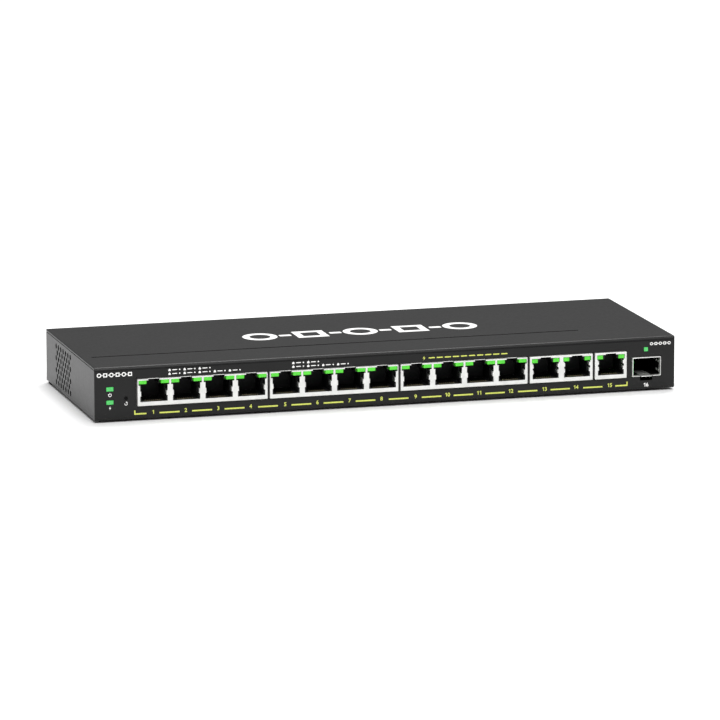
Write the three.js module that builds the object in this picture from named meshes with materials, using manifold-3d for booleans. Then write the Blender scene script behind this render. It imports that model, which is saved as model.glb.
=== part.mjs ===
// A desktop Ethernet switch: fifteen RJ45 jacks in five blocks, one SFP cage, a recessed reset button
// and a barrel power inlet, in a folded steel tray with a lid.
// Millimetres, +Z up. The origin is on the table under the middle of the case, and the ports face -Y.
import * as THREE from "three";
import { mergeVertices } from "three/addons/utils/BufferGeometryUtils.js";
import Module from "manifold-3d";

const wasm = await Module();
wasm.setup();

// ---------------------------------------------------------------- driving dimensions

// Case. Face measures run from the front face's left edge, and from the underside of the tray.
const CASE_WIDTH = 286;
const CASE_DEPTH = 101;
const CASE_HEIGHT = 25.3;
const SHEET = 0.8; // steel thickness of tray and lid
const FOOT_HEIGHT = 1.2;
const CORNER_RADIUS = 0.6; // upright corners and bottom bend of the tray
const LID_BEND = 0.5; // top bend along the sides and the back
const LID_FRONT_BEND = 1.6; // top bend along the front
const LID_LIP = 1; // how far the lid's edge hangs down at the sides and the back
const LID_FRONT_LIP = 1.7;
const SEAM = 0.3; // gap between the lid's lip and the tray's wall
const FLANGE_GAP = 0.15; // between the lid's inner flange and the tray's wall
const FLANGE_FOOT = { side: 22.4, front: 20.8, back: 18.4 }; // how low the lid's inner flange reaches
const FIT = 0.1; // clearance between pieces that touch

const LEFT = -CASE_WIDTH / 2;
const RIGHT = CASE_WIDTH / 2;
const FRONT = -CASE_DEPTH / 2;
const BACK = CASE_DEPTH / 2;
const FLOOR = FOOT_HEIGHT;
const TOP = FOOT_HEIGHT + CASE_HEIGHT;

// Circuit board.
const BOARD = { halfWidth: 140, front: FRONT + 1.7, back: BACK - 3.5, bottom: 4.6, thickness: 1.6 };
const BOARD_TOP = FLOOR + BOARD.bottom + BOARD.thickness;
const STANDOFFS = [[-134, -22], [117.5, -22], [-134, 42], [134, 42]];

// RJ45 jacks.
const PORT_PITCH = 15.75;
const SINGLE_WIDTH = 16;
const BLOCK_GAP = 1.1;
const FIRST_BLOCK = 20.3; // from the case's left edge to the first block
const JACK = { bottom: 6.3, top: 19.1, depth: 21.3, proud: 1.8, shell: 0.3 };
const BLOCKS = [
  { name: "1_4", ports: 4, style: "ganged" },
  { name: "5_8", ports: 4, style: "ganged" },
  { name: "9_12", ports: 4, style: "ganged" },
  { name: "13_14", ports: 2, style: "single" },
  { name: "15", ports: 1, style: "single" },
];
// Heights are above the tray's underside, and half widths are from a port's middle.
const STYLES = {
  ganged: {
    cavityHalf: 6.3, cavityBottom: 8.25, ledge: 16.45, zoneHalf: 7.4, zoneTop: 18.8,
    notchHalf: 2.7, notchTop: 19.5, lightInner: 3.5, lightOuter: 7.3, lightBottom: 16.75,
    lightTop: 18.65, lightRecess: 0.1,
  },
  single: {
    cavityHalf: 6.2, cavityBottom: 8.25, ledge: 15.9, zoneHalf: 6.95, zoneTop: 18.1,
    notchHalf: 2.6, notchTop: 18.6, lightInner: 4.15, lightOuter: 6.85, lightBottom: 16,
    lightTop: 17.95, lightRecess: 0.8,
  },
};
const TAB = { bottom: 10.9, top: 13.4, reach: 0.45, bevel: 0.5 }; // ground tabs on a port's side walls
const PLUG = { half: 5.95, top: 16.2, slotHalf: 3, depth: 14.5 }; // the socket in the housing
const CONTACT = { perPort: 8, pitch: 1.02, width: 0.4, start: 8.35, end: 9.4, length: 9.4, bar: 1.7 };

// SFP port.
const SFP = { middle: 271.6, halfWidth: 7.2, bottom: 6.3, top: 15.7, proud: 0.8, depth: 48.5, wall: 0.4 };
const LATCH = { halfWidth: 2.7, length: 13.5, thickness: 0.3, lip: 0.4, slotGap: 0.4, notchBottom: 4.25 };
const SFP_CONNECTOR = { halfWidth: 5.5, height: 6, depth: 9 };

// Front panel indicators and reset button, from the case's left edge and the tray's underside.
const POWER_LIGHT = { x: 7.4, z: 14.85, width: 3.4, height: 2 };
const POE_LIGHT = { x: 7.4, z: 8.5, width: 3.4, height: 2 };
const SFP_LIGHT = { x: 271.4, z: 19.4, width: 2, height: 2 };
const RESET = { x: 15.1, z: 10.15, hole: 0.9, plunger: 1.5 };

// Back panel.
const INLET = { x: 90, z: 13, nose: 4.3, bore: 3.2, pin: 1.25, proud: 1.8, depth: 13, half: 5 };
const COVER_SCREWS = [-120, 0, 120];
const COVER_SCREW_Z = 20.7;
const LOCK_SLOT = { x: -90, z: 12.5, width: 7, height: 3 };

// Side vents: a staggered grid, 7 and 6 holes to a row by turns.
const VENT = { rows: 7, columns: 7, pitchY: 4.95, pitchZ: 2.9, y: 13.85, z: 12.2, radius: 1.3 };

// Groove pressed into the lid, and keyholes in the tray's floor.
const GROOVE = { from: 4.8, to: 245.7, back: 26, width: 1.3, depth: 0.4 };
const KEYHOLE = { spread: 75, y: 2, head: 4, neck: 2.1, length: 8 };

// Rubber feet. Each inset is to the foot's middle.
const FOOT = { radius: 3.5, chamfer: 0.5 };
const REAR_FOOT_INSET = { x: 3.8, y: 3.8 };
const FRONT_FOOT_INSET = { x: 6, y: 10 };

// ---------------------------------------------------------------- solids

const faceX = (x) => LEFT + x;
const faceZ = (z) => FLOOR + z;

/** A closed three.js geometry as a solid. */
function solid(geometry) {
  geometry.deleteAttribute("normal");
  geometry.deleteAttribute("uv");
  const merged = mergeVertices(geometry, 1e-4);
  const mesh = new wasm.Mesh({
    numProp: 3,
    vertProperties: merged.attributes.position.array,
    triVerts: new Uint32Array(merged.index.array),
  });
  return new wasm.Manifold(mesh);
}

/** A solid as a three.js geometry. */
function geometryOf(body) {
  const mesh = body.getMesh();
  const geometry = new THREE.BufferGeometry();
  geometry.setAttribute("position", new THREE.BufferAttribute(mesh.vertProperties, 3));
  geometry.setIndex(new THREE.BufferAttribute(mesh.triVerts, 1));
  const flat = geometry.toNonIndexed();
  flat.computeVertexNormals();
  return flat;
}

/** A block between two x, two y and two z values. */
function block([x0, x1], [y0, y1], [z0, z1]) {
  const geometry = new THREE.BoxGeometry(x1 - x0, y1 - y0, z1 - z0);
  geometry.translate((x0 + x1) / 2, (y0 + y1) / 2, (z0 + z1) / 2);
  return solid(geometry);
}

/** A range of the given half size about a middle. */
const about = (middle, half) => [middle - half, middle + half];

/** A cylinder along Y, from y0 to y1. */
function rodY(radius, x, z, [y0, y1], sides = 16) {
  const geometry = new THREE.CylinderGeometry(radius, radius, y1 - y0, sides);
  geometry.translate(x, (y0 + y1) / 2, z);
  return solid(geometry);
}

/** A cylinder along Z, from z0 to z1. */
function rodZ(radius, x, y, [z0, z1], sides = 16) {
  const geometry = new THREE.CylinderGeometry(radius, radius, z1 - z0, sides);
  geometry.rotateX(Math.PI / 2);
  geometry.translate(x, y, (z0 + z1) / 2);
  return solid(geometry);
}

/** A shape whose coordinates are x and z, extruded along Y. */
function extrudeY(shape, [y0, y1], curveSegments = 4) {
  const geometry = new THREE.ExtrudeGeometry(shape, { depth: y1 - y0, bevelEnabled: false, curveSegments });
  geometry.rotateX(Math.PI / 2);
  geometry.translate(0, y1, 0);
  return solid(geometry);
}

/** A shape whose coordinates are y and z, extruded along X. */
function extrudeX(shape, [x0, x1], curveSegments = 4) {
  const geometry = new THREE.ExtrudeGeometry(shape, { depth: x1 - x0, bevelEnabled: false, curveSegments });
  const turn = new THREE.Matrix4().makeBasis(
    new THREE.Vector3(0, 1, 0),
    new THREE.Vector3(0, 0, 1),
    new THREE.Vector3(1, 0, 0),
  );
  geometry.applyMatrix4(turn);
  geometry.translate(x0, 0, 0);
  return solid(geometry);
}

/** A polygon through the given points. */
const polygon = (points) => new THREE.Shape(points.map(([u, v]) => new THREE.Vector2(u, v)));

/** A rectangle with its own corner radius at each corner: lower left, lower right, upper right, upper left. */
function roundedRectangle([u0, u1], [v0, v1], [lowerLeft, lowerRight, upperRight, upperLeft]) {
  const shape = new THREE.Shape();
  shape.moveTo(u0 + lowerLeft, v0);
  shape.lineTo(u1 - lowerRight, v0);
  if (lowerRight) shape.absarc(u1 - lowerRight, v0 + lowerRight, lowerRight, -Math.PI / 2, 0, false);
  shape.lineTo(u1, v1 - upperRight);
  if (upperRight) shape.absarc(u1 - upperRight, v1 - upperRight, upperRight, 0, Math.PI / 2, false);
  shape.lineTo(u0 + upperLeft, v1);
  if (upperLeft) shape.absarc(u0 + upperLeft, v1 - upperLeft, upperLeft, Math.PI / 2, Math.PI, false);
  shape.lineTo(u0, v0 + lowerLeft);
  if (lowerLeft) shape.absarc(u0 + lowerLeft, v0 + lowerLeft, lowerLeft, Math.PI, 1.5 * Math.PI, false);
  return shape;
}

/** A shape whose coordinates are x and y, extruded along Z. */
function extrudeZ(shape, [z0, z1], curveSegments = 4) {
  const geometry = new THREE.ExtrudeGeometry(shape, { depth: z1 - z0, bevelEnabled: false, curveSegments });
  geometry.translate(0, 0, z0);
  return solid(geometry);
}

const join = (bodies) => bodies.reduce((sum, body) => sum.add(body));
const cut = (body, tools) => tools.reduce((rest, tool) => rest.subtract(tool), body);

// ---------------------------------------------------------------- port layout

const blockWidth = (ports) => (ports === 1 ? SINGLE_WIDTH : ports * PORT_PITCH);

/** Each jack block with its left and right sides, the middle of each port, and its style's measures. */
const jackBlocks = [];
let nextLeft = faceX(FIRST_BLOCK);
for (const { name, ports, style } of BLOCKS) {
  const width = blockWidth(ports);
  const middle = nextLeft + width / 2;
  const portMiddles = Array.from({ length: ports }, (_, i) => middle + (i - (ports - 1) / 2) * PORT_PITCH);
  jackBlocks.push({ name, left: nextLeft, right: nextLeft + width, middle, portMiddles, style: STYLES[style] });
  nextLeft += width + BLOCK_GAP;
}
const JACK_FRONT = FRONT - JACK.proud;
const JACK_BACK = JACK_FRONT + JACK.depth;
const SFP_X = faceX(SFP.middle);
const SFP_FRONT = FRONT - SFP.proud;

// ---------------------------------------------------------------- case

/** The staggered vent holes through a wall at x. */
function ventTools(xs) {
  const tools = [];
  for (let row = 0; row < VENT.rows; row += 1) {
    const count = VENT.columns - (row % 2);
    const z = faceZ(VENT.z) + (row - (VENT.rows - 1) / 2) * VENT.pitchZ;
    for (let i = 0; i < count; i += 1) {
      const y = VENT.y + (i - (count - 1) / 2) * VENT.pitchY;
      const hole = new THREE.CylinderGeometry(VENT.radius, VENT.radius, xs[1] - xs[0], 6);
      hole.rotateZ(Math.PI / 2);
      hole.translate((xs[0] + xs[1]) / 2, y, z);
      tools.push(solid(hole));
    }
  }
  return tools;
}

/** A keyhole with its neck towards the back. */
function keyholeTool(x) {
  const depth = [FLOOR - 1, FLOOR + SHEET + 1];
  const { y, head, neck, length } = KEYHOLE;
  return join([
    rodZ(head, x, y, depth, 16),
    rodZ(neck, x, y + length, depth, 16),
    block(about(x, neck), [y, y + length], depth),
  ]);
}

/** The folded steel tray: floor, two sides, front with the port windows, and back. */
function baseTray() {
  const footprint = (inset) => {
    const radius = Math.max(CORNER_RADIUS - inset, 0.2);
    const corners = [radius, radius, radius, radius];
    return roundedRectangle([LEFT + inset, RIGHT - inset], [FRONT + inset, BACK - inset], corners);
  };
  const r = CORNER_RADIUS;
  const wallTop = TOP - LID_LIP - SEAM;
  const frontTop = TOP - LID_FRONT_LIP - SEAM;
  const bend = [r, r, 0, 0];
  const outer = extrudeZ(footprint(0), [FLOOR, wallTop])
    .intersect(extrudeX(roundedRectangle([FRONT, BACK], [FLOOR, wallTop], bend), [LEFT - 1, RIGHT + 1]))
    .intersect(extrudeY(roundedRectangle([LEFT, RIGHT], [FLOOR, wallTop], bend), [FRONT - 1, BACK + 1]));
  const through = [FRONT - 1, FRONT + SHEET + 0.1];
  const windows = jackBlocks.map(({ left, right }) =>
    block([left - 0.15, right + 0.15], through, [faceZ(JACK.bottom) - 0.2, faceZ(JACK.top) + 0.15]),
  );
  const lightWindow = ({ x, z, width, height }) =>
    block(about(faceX(x), width / 2 + FIT), through, about(faceZ(z), height / 2 + FIT));
  const backThrough = [BACK - SHEET - 0.1, BACK + 1];
  const lockEnds = LOCK_SLOT.height / 2;
  const lockSlot = roundedRectangle(
    about(LOCK_SLOT.x, LOCK_SLOT.width / 2),
    about(faceZ(LOCK_SLOT.z), LOCK_SLOT.height / 2),
    [lockEnds / 2, lockEnds / 2, lockEnds / 2, lockEnds / 2],
  );
  return cut(outer, [
    extrudeZ(footprint(SHEET), [FLOOR + SHEET, TOP]),
    block([LEFT - 1, RIGHT + 1], [FRONT - 1, FRONT + SHEET + 0.1], [frontTop, TOP]),
    ...windows,
    block(about(SFP_X, SFP.halfWidth + 0.2), through, [faceZ(SFP.bottom) - 0.2, faceZ(SFP.top) + 0.2]),
    block(about(SFP_X, LATCH.halfWidth + LATCH.slotGap), through, [faceZ(LATCH.notchBottom), faceZ(SFP.bottom)]),
    lightWindow(POWER_LIGHT),
    lightWindow(POE_LIGHT),
    lightWindow(SFP_LIGHT),
    rodY(RESET.hole, faceX(RESET.x), faceZ(RESET.z), through, 12),
    ...ventTools([LEFT - 1, LEFT + SHEET + 0.1]),
    ...ventTools([RIGHT - SHEET - 0.1, RIGHT + 1]),
    rodY(INLET.nose + 0.3, INLET.x, faceZ(INLET.z), backThrough, 20),
    extrudeY(lockSlot, backThrough, 2),
    ...COVER_SCREWS.map((x) => rodY(1.7, x, faceZ(COVER_SCREW_Z), backThrough, 12)),
    keyholeTool(-KEYHOLE.spread),
    keyholeTool(KEYHOLE.spread),
  ]);
}

/** The lid: a flat top with a rolled edge, a pressed groove and a flange that drops inside the tray's walls. */
function topCover() {
  const below = TOP - LID_FRONT_LIP;
  const sideProfile = roundedRectangle([FRONT, BACK], [below, TOP], [0, 0, LID_BEND, LID_FRONT_BEND]);
  const frontProfile = roundedRectangle([LEFT, RIGHT], [below, TOP], [0, 0, LID_BEND, LID_BEND]);
  const r = CORNER_RADIUS;
  const outer = extrudeX(sideProfile, [LEFT, RIGHT], 5)
    .intersect(extrudeY(frontProfile, [FRONT, BACK], 5))
    .intersect(extrudeZ(roundedRectangle([LEFT, RIGHT], [FRONT, BACK], [r, r, r, r]), [below - 1, TOP + 1]));
  const inside = [LEFT + SHEET, RIGHT - SHEET];
  const grooveEnd = GROOVE.width / 2;
  const groove = roundedRectangle(
    [faceX(GROOVE.from), faceX(GROOVE.to)],
    about(FRONT + GROOVE.back, grooveEnd),
    [grooveEnd, grooveEnd, grooveEnd, grooveEnd],
  );
  const shell = cut(outer, [
    block([LEFT - 1, RIGHT + 1], [FRONT + SHEET, BACK + 1], [below - 1, TOP - LID_LIP]),
    block(inside, [FRONT + SHEET, BACK - SHEET], [below - 1, TOP - SHEET]),
    extrudeZ(groove, [TOP - GROOVE.depth, TOP + 1], 3),
  ]);
  const edge = SHEET + FLANGE_GAP;
  const thickness = SHEET - 0.1;
  const flangeX = [LEFT + edge, RIGHT - edge];
  const flangeY = [FRONT + edge, BACK - edge];
  const root = TOP - SHEET + 0.2;
  const sideFoot = faceZ(FLANGE_FOOT.side);
  const flanges = [
    block([flangeX[0], flangeX[0] + thickness], flangeY, [sideFoot, root]),
    block([flangeX[1] - thickness, flangeX[1]], flangeY, [sideFoot, root]),
    block(flangeX, [flangeY[0], flangeY[0] + thickness], [faceZ(FLANGE_FOOT.front), root]),
    block(flangeX, [flangeY[1] - thickness, flangeY[1]], [faceZ(FLANGE_FOOT.back), root]),
  ];
  const rearFlange = [flangeY[1] - thickness - 1, BACK];
  const screwHoles = COVER_SCREWS.map((x) => rodY(1.35, x, faceZ(COVER_SCREW_Z), rearFlange, 12));
  return cut(join([shell, ...flanges]), screwHoles);
}

/** A round rubber foot with a chamfered edge. */
function foot(x, y) {
  const profile = [
    [0, 0],
    [FOOT.radius - FOOT.chamfer, 0],
    [FOOT.radius, FOOT.chamfer],
    [FOOT.radius, FOOT_HEIGHT - 0.05],
    [0, FOOT_HEIGHT - 0.05],
  ];
  const geometry = new THREE.LatheGeometry(profile.map(([u, v]) => new THREE.Vector2(u, v)), 16);
  geometry.rotateX(Math.PI / 2);
  geometry.translate(x, y, 0);
  return solid(geometry);
}

/** A pan-head machine screw along -Z at the origin: the head stands above 0, and the shank hangs below it. */
function screw({ head, headHeight, shank, length }) {
  const profile = [
    [0, -length],
    [shank, -length],
    [shank, 0],
    [head, 0],
    [head, headHeight * 0.45],
    [head * 0.7, headHeight],
    [0, headHeight],
  ];
  const geometry = new THREE.LatheGeometry(profile.map(([u, v]) => new THREE.Vector2(u, v)), 12);
  geometry.rotateX(Math.PI / 2);
  const arm = head * 0.55;
  const slotHalf = 0.35;
  const slotDepth = [headHeight * 0.4, headHeight + 1];
  return cut(solid(geometry), [
    block([-arm, arm], [-slotHalf, slotHalf], slotDepth),
    block([-slotHalf, slotHalf], [-arm, arm], slotDepth),
  ]);
}

// ---------------------------------------------------------------- board and what stands on it

function mainBoard() {
  const zs = [faceZ(BOARD.bottom), BOARD_TOP];
  const past = [zs[0] - 1, zs[1] + 1];
  return cut(block([-BOARD.halfWidth, BOARD.halfWidth], [BOARD.front, BOARD.back], zs), [
    ...STANDOFFS.map(([x, y]) => rodZ(1.6, x, y, past, 12)),
    block(about(SFP_X, LATCH.halfWidth + 1), [BOARD.front - 1, SFP_FRONT + LATCH.length + 2], past),
  ]);
}

function standoff(x, y) {
  const zs = [FLOOR + SHEET, faceZ(BOARD.bottom) - FIT];
  return cut(rodZ(2.8, x, y, zs, 6), [rodZ(1.45, x, y, [zs[0] + 0.6, zs[1] + 1], 12)]);
}

/** A chip or module standing on the board. */
function onBoard(x, y, width, depth, height) {
  const lift = BOARD_TOP + FIT;
  return block(about(x, width / 2), about(y, depth / 2), [lift, lift + height]);
}

const CHIP = { x: -10, y: 12, size: 24, height: 1.4 };
const HEATSINK = { size: 44, base: 2, height: 10, fins: 9, fin: 1.2 };

/** A finned aluminium heatsink on the switch chip. */
function heatsink() {
  const foot = BOARD_TOP + FIT + CHIP.height + FIT;
  const half = HEATSINK.size / 2;
  const step = (HEATSINK.size - HEATSINK.fin) / (HEATSINK.fins - 1);
  const points = [[CHIP.x - half, foot], [CHIP.x + half, foot]];
  for (let i = HEATSINK.fins - 1; i >= 0; i -= 1) {
    const left = CHIP.x - half + i * step;
    const right = left + HEATSINK.fin;
    if (i < HEATSINK.fins - 1) points.push([right, foot + HEATSINK.base]);
    points.push([right, foot + HEATSINK.height], [left, foot + HEATSINK.height]);
    if (i > 0) points.push([left, foot + HEATSINK.base]);
  }
  return extrudeY(polygon(points), about(CHIP.y, half));
}

/** An upright electrolytic capacitor: a can with a rolled neck near its base. */
function capacitor(x, y, radius, height) {
  const profile = [
    [0, 0],
    [radius, 0],
    [radius, 1.6],
    [radius - 0.4, 2.1],
    [radius, 2.6],
    [radius, height - 0.5],
    [radius - 0.5, height],
    [0, height],
  ];
  const geometry = new THREE.LatheGeometry(profile.map(([u, v]) => new THREE.Vector2(u, v)), 20);
  geometry.rotateX(Math.PI / 2);
  geometry.translate(x, y, BOARD_TOP + FIT);
  return solid(geometry);
}

// ---------------------------------------------------------------- RJ45 jacks

/** The outline of a port's window in the shield, with the ground tabs that lean in from its sides. */
function portWindow(middle, style) {
  const { cavityHalf, cavityBottom, ledge, zoneHalf, zoneTop, notchHalf, notchTop } = style;
  const half = [
    [cavityHalf, cavityBottom],
    [cavityHalf, TAB.bottom - TAB.bevel],
    [cavityHalf - TAB.reach, TAB.bottom],
    [cavityHalf - TAB.reach, TAB.top],
    [cavityHalf, TAB.top + TAB.bevel],
    [cavityHalf, ledge],
    [zoneHalf, ledge],
    [zoneHalf, zoneTop],
    [notchHalf, zoneTop],
    [notchHalf, notchTop],
  ];
  const right = half.map(([x, z]) => [middle + x, faceZ(z)]);
  const left = half.map(([x, z]) => [middle - x, faceZ(z)]).reverse();
  return polygon([...right, ...left]);
}

/** The plated steel shell of a jack block: front with windows, top, sides and back, open underneath. */
function jackShield({ left, right, portMiddles, style }) {
  const { shell } = JACK;
  const bottom = faceZ(JACK.bottom);
  const top = faceZ(JACK.top);
  const frontSheet = [JACK_FRONT - 1, JACK_FRONT + shell];
  const body = cut(block([left, right], [JACK_FRONT, JACK_BACK], [bottom, top]), [
    block([left + shell, right - shell], [JACK_FRONT + shell, JACK_BACK - shell], [bottom - 1, top - shell]),
    ...portMiddles.map((x) => extrudeY(portWindow(x, style), frontSheet)),
  ]);
  if (style.notchTop <= JACK.top) return body;
  const notches = portMiddles.map((x) =>
    block(about(x, style.notchHalf), [JACK_FRONT - 1, FRONT - 0.2], [top - shell - 0.1, top + 1]),
  );
  return cut(body, notches);
}

/** The black moulding inside a shell, with a socket for each port and channels for the light pipes. */
function jackHousing({ left, right, portMiddles, style }) {
  const inset = JACK.shell + FIT;
  const front = JACK_FRONT + inset;
  const back = JACK_BACK - 2.6;
  const top = faceZ(JACK.top) - inset;
  const over = top + 1;
  const tools = portMiddles.flatMap((x) => {
    const socketY = [front - 1, front + PLUG.depth];
    const slotTop = style.notchTop > JACK.top ? over : faceZ(style.notchTop);
    const channels = [-1, 1].map((side) => {
      const inner = x + side * (style.lightInner - FIT);
      const edge = side < 0 ? left : right;
      const reachesEdge = Math.abs(edge - x) < PORT_PITCH * 0.6;
      const outer = reachesEdge ? edge + side : x + side * (style.lightOuter + FIT);
      const xs = [Math.min(inner, outer), Math.max(inner, outer)];
      return block(xs, [front - 1, back + 1], [faceZ(style.lightBottom) - FIT, over]);
    });
    return [
      block(about(x, PLUG.half), socketY, [faceZ(style.cavityBottom), faceZ(PLUG.top)]),
      block(about(x, PLUG.slotHalf), socketY, [faceZ(PLUG.top) - 1, slotTop]),
      ...channels,
    ];
  });
  const barY = [front + 1.9, front + 2.1 + CONTACT.bar];
  tools.push(block([left - 1, right + 1], barY, [faceZ(6.9), faceZ(8.3)]));
  const body = block([left + inset, right - inset], [front, back], [faceZ(JACK.bottom), top]);
  return cut(body, tools);
}

/** A comb of eight sprung contacts for each port, on the bar that holds them under the sockets' floor. */
function jackContacts({ left, right, portMiddles }) {
  const inset = JACK.shell + FIT;
  const barFront = JACK_FRONT + inset + 2;
  const bar = block([left + inset, right - inset], [barFront, barFront + CONTACT.bar], [faceZ(7), faceZ(8.1)]);
  const run = CONTACT.length - CONTACT.bar;
  const rise = CONTACT.end - CONTACT.start;
  const wireShape = polygon([
    [barFront + 0.6, faceZ(CONTACT.start) - 0.4],
    [barFront + CONTACT.bar, faceZ(CONTACT.start)],
    [barFront + CONTACT.bar + run, faceZ(CONTACT.start) + rise - CONTACT.width],
    [barFront + CONTACT.bar + run, faceZ(CONTACT.start) + rise],
    [barFront + CONTACT.bar, faceZ(CONTACT.start) + CONTACT.width],
    [barFront + 0.6, faceZ(CONTACT.start) + CONTACT.width],
  ]);
  const wires = portMiddles.flatMap((x) =>
    Array.from({ length: CONTACT.perPort }, (_, i) => {
      const middle = x + (i - (CONTACT.perPort - 1) / 2) * CONTACT.pitch;
      return extrudeX(wireShape, about(middle, CONTACT.width / 2));
    }),
  );
  return join([bar, ...wires]);
}

/** The clear light pipes of a jack block: one rod at each upper corner of a port, on a bar behind them. */
function jackLights({ left, right, portMiddles, style }) {
  const rodFront = JACK_FRONT + style.lightRecess;
  const barY = [JACK_BACK - 2.4, JACK_BACK - 0.5];
  const zs = [faceZ(style.lightBottom), faceZ(style.lightTop)];
  const inset = JACK.shell + FIT + 0.1;
  const bar = block([left + inset, right - inset], barY, zs);
  const rods = portMiddles.flatMap((x) =>
    [-1, 1].map((side) => {
      const xs = [x + side * style.lightInner, x + side * style.lightOuter].sort((a, b) => a - b);
      return block(xs, [rodFront, barY[0] + 0.2], zs);
    }),
  );
  return join([bar, ...rods]);
}

// ---------------------------------------------------------------- SFP port

/** The sheet steel cage, open at its mouth, with a slot for the latch and an opening over the connector. */
function sfpCage() {
  const { halfWidth, wall } = SFP;
  const bottom = faceZ(SFP.bottom);
  const top = faceZ(SFP.top);
  const back = SFP_FRONT + SFP.depth;
  const latchSlot = LATCH.halfWidth + LATCH.slotGap;
  return cut(block(about(SFP_X, halfWidth), [SFP_FRONT, back], [bottom, top]), [
    block(about(SFP_X, halfWidth - wall), [SFP_FRONT - 1, back - wall], [bottom + wall, top - wall]),
    block(about(SFP_X, latchSlot), [SFP_FRONT - 1, SFP_FRONT + LATCH.length + 0.3], [bottom - 1, bottom + wall + 0.1]),
    block(
      about(SFP_X, SFP_CONNECTOR.halfWidth + 0.4),
      [back - SFP_CONNECTOR.depth - 2, back - wall],
      [bottom - 1, bottom + wall + 0.1],
    ),
  ]);
}

/** The sprung tongue in the cage's floor, with the hole that catches a module's latch post. */
function sfpLatch() {
  const zs = [faceZ(SFP.bottom) + 0.05, faceZ(SFP.bottom) + 0.05 + LATCH.thickness];
  const tip = SFP_FRONT - 0.3;
  const root = SFP_FRONT + LATCH.length;
  const hole = polygon([[-1.5, tip + 3.2], [1.5, tip + 3.2], [0, tip + 6]].map(([x, y]) => [SFP_X + x, y]));
  const tongue = cut(block(about(SFP_X, LATCH.halfWidth), [tip, root], zs), [extrudeZ(hole, [zs[0] - 1, zs[1] + 1])]);
  const lip = block(about(SFP_X, LATCH.halfWidth), [tip, tip + LATCH.thickness], [zs[0] - LATCH.lip, zs[1]]);
  return tongue.add(lip);
}

/** The 20-way board connector inside the cage, with the slot for a module's edge card. */
function sfpConnector() {
  const back = SFP_FRONT + SFP.depth - SFP.wall - 0.5;
  const front = back - SFP_CONNECTOR.depth;
  const zs = [BOARD_TOP + FIT, BOARD_TOP + FIT + SFP_CONNECTOR.height];
  const cardZ = about((zs[0] + zs[1]) / 2, 0.7);
  return cut(block(about(SFP_X, SFP_CONNECTOR.halfWidth), [front, back], zs), [
    block(about(SFP_X, SFP_CONNECTOR.halfWidth - 0.8), [front - 1, back - 2], cardZ),
  ]);
}

// ---------------------------------------------------------------- front indicators and reset button

/** A light pipe whose window shows in the front panel, with a leg down to its LED. */
function panelLight({ x, z, width, height }, legY) {
  const xs = about(faceX(x), width / 2);
  const zs = about(faceZ(z), height / 2);
  return join([
    block(xs, [FRONT - 0.1, legY + 2], zs),
    block(xs, [legY, legY + 2], [BOARD_TOP + 0.8, zs[1]]),
  ]);
}

/** The SFP port's light pipe, which steps sideways past the cage before it goes down. */
function sfpLight() {
  const { x, z, width, height } = SFP_LIGHT;
  const zs = about(faceZ(z), height / 2);
  const ys = [FRONT + 2.3, FRONT + 4.3];
  const legX = [SFP_X - SFP.halfWidth - 2.4, SFP_X - SFP.halfWidth - 0.6];
  return join([
    block(about(faceX(x), width / 2), [FRONT - 0.1, ys[1]], zs),
    block([legX[0], faceX(x) + width / 2], ys, zs),
    block(legX, ys, [BOARD_TOP + 0.8, zs[1]]),
  ]);
}

const SWITCH_FRONT = FRONT + 4.3;

/** The reset switch's moulding, with a bore for its plunger. */
function resetSwitch() {
  const x = faceX(RESET.x);
  const body = block(about(x, 3), [SWITCH_FRONT, SWITCH_FRONT + 3.8], [BOARD_TOP + FIT, BOARD_TOP + 7.2]);
  return cut(body, [rodY(RESET.plunger + 0.15, x, faceZ(RESET.z), [SWITCH_FRONT - 1, SWITCH_FRONT + 2.8], 16)]);
}

/** The plunger that a pin pushes through the panel's hole. */
const resetPlunger = () =>
  rodY(RESET.plunger, faceX(RESET.x), faceZ(RESET.z), [FRONT + SHEET + 0.6, SWITCH_FRONT + 2.3], 16);

// ---------------------------------------------------------------- power inlet

const INLET_WALL = BACK - SHEET - 0.3; // the face that stands behind the back panel
const SPRING = { half: 1.5, length: 7.6, thickness: 0.3 };

/** The barrel jack's moulding: a box behind the back panel and a round nose through it. */
function inletBody() {
  const z = faceZ(INLET.z);
  const mouth = BACK + INLET.proud;
  const boreEnd = mouth - INLET.depth + 1;
  const body = join([
    block(about(INLET.x, INLET.half), [BACK - INLET.depth - 2, INLET_WALL], [BOARD_TOP + FIT, z + INLET.half]),
    rodY(INLET.nose, INLET.x, z, [INLET_WALL - 1, mouth], 20),
  ]);
  return cut(body, [
    rodY(INLET.bore, INLET.x, z, [boreEnd, mouth + 1], 20),
    rodY(INLET.pin + FIT, INLET.x, z, [BACK - INLET.depth - 3, boreEnd + 1], 12),
    block(about(INLET.x, SPRING.half + 0.3), [boreEnd, INLET_WALL - 0.6], [z - INLET.bore - 1.2, z - 1.5]),
  ]);
}

const inletPin = () =>
  join([
    rodY(INLET.pin, INLET.x, faceZ(INLET.z), [BACK - INLET.depth - 2.6, BACK + INLET.proud - 1], 12),
    rodY(2.2, INLET.x, faceZ(INLET.z), [BACK - INLET.depth - 2.9, BACK - INLET.depth - 2.2], 12),
  ]);

/** The leaf that presses on a plug's sleeve, hinged at its inner end. */
function inletSpring() {
  const bottom = faceZ(INLET.z) - INLET.bore;
  const root = BACK + INLET.proud - INLET.depth + 1.4;
  const tip = root + SPRING.length;
  const mid = (root + tip) / 2;
  const { thickness } = SPRING;
  const leaf = polygon([
    [root, bottom - 0.4],
    [mid, bottom + 0.2],
    [tip, bottom - 0.2],
    [tip, bottom - 0.2 + thickness],
    [mid, bottom + 0.2 + thickness],
    [root, bottom - 0.4 + thickness],
  ]);
  return extrudeX(leaf, about(INLET.x, SPRING.half));
}

// ---------------------------------------------------------------- assembly

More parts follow.
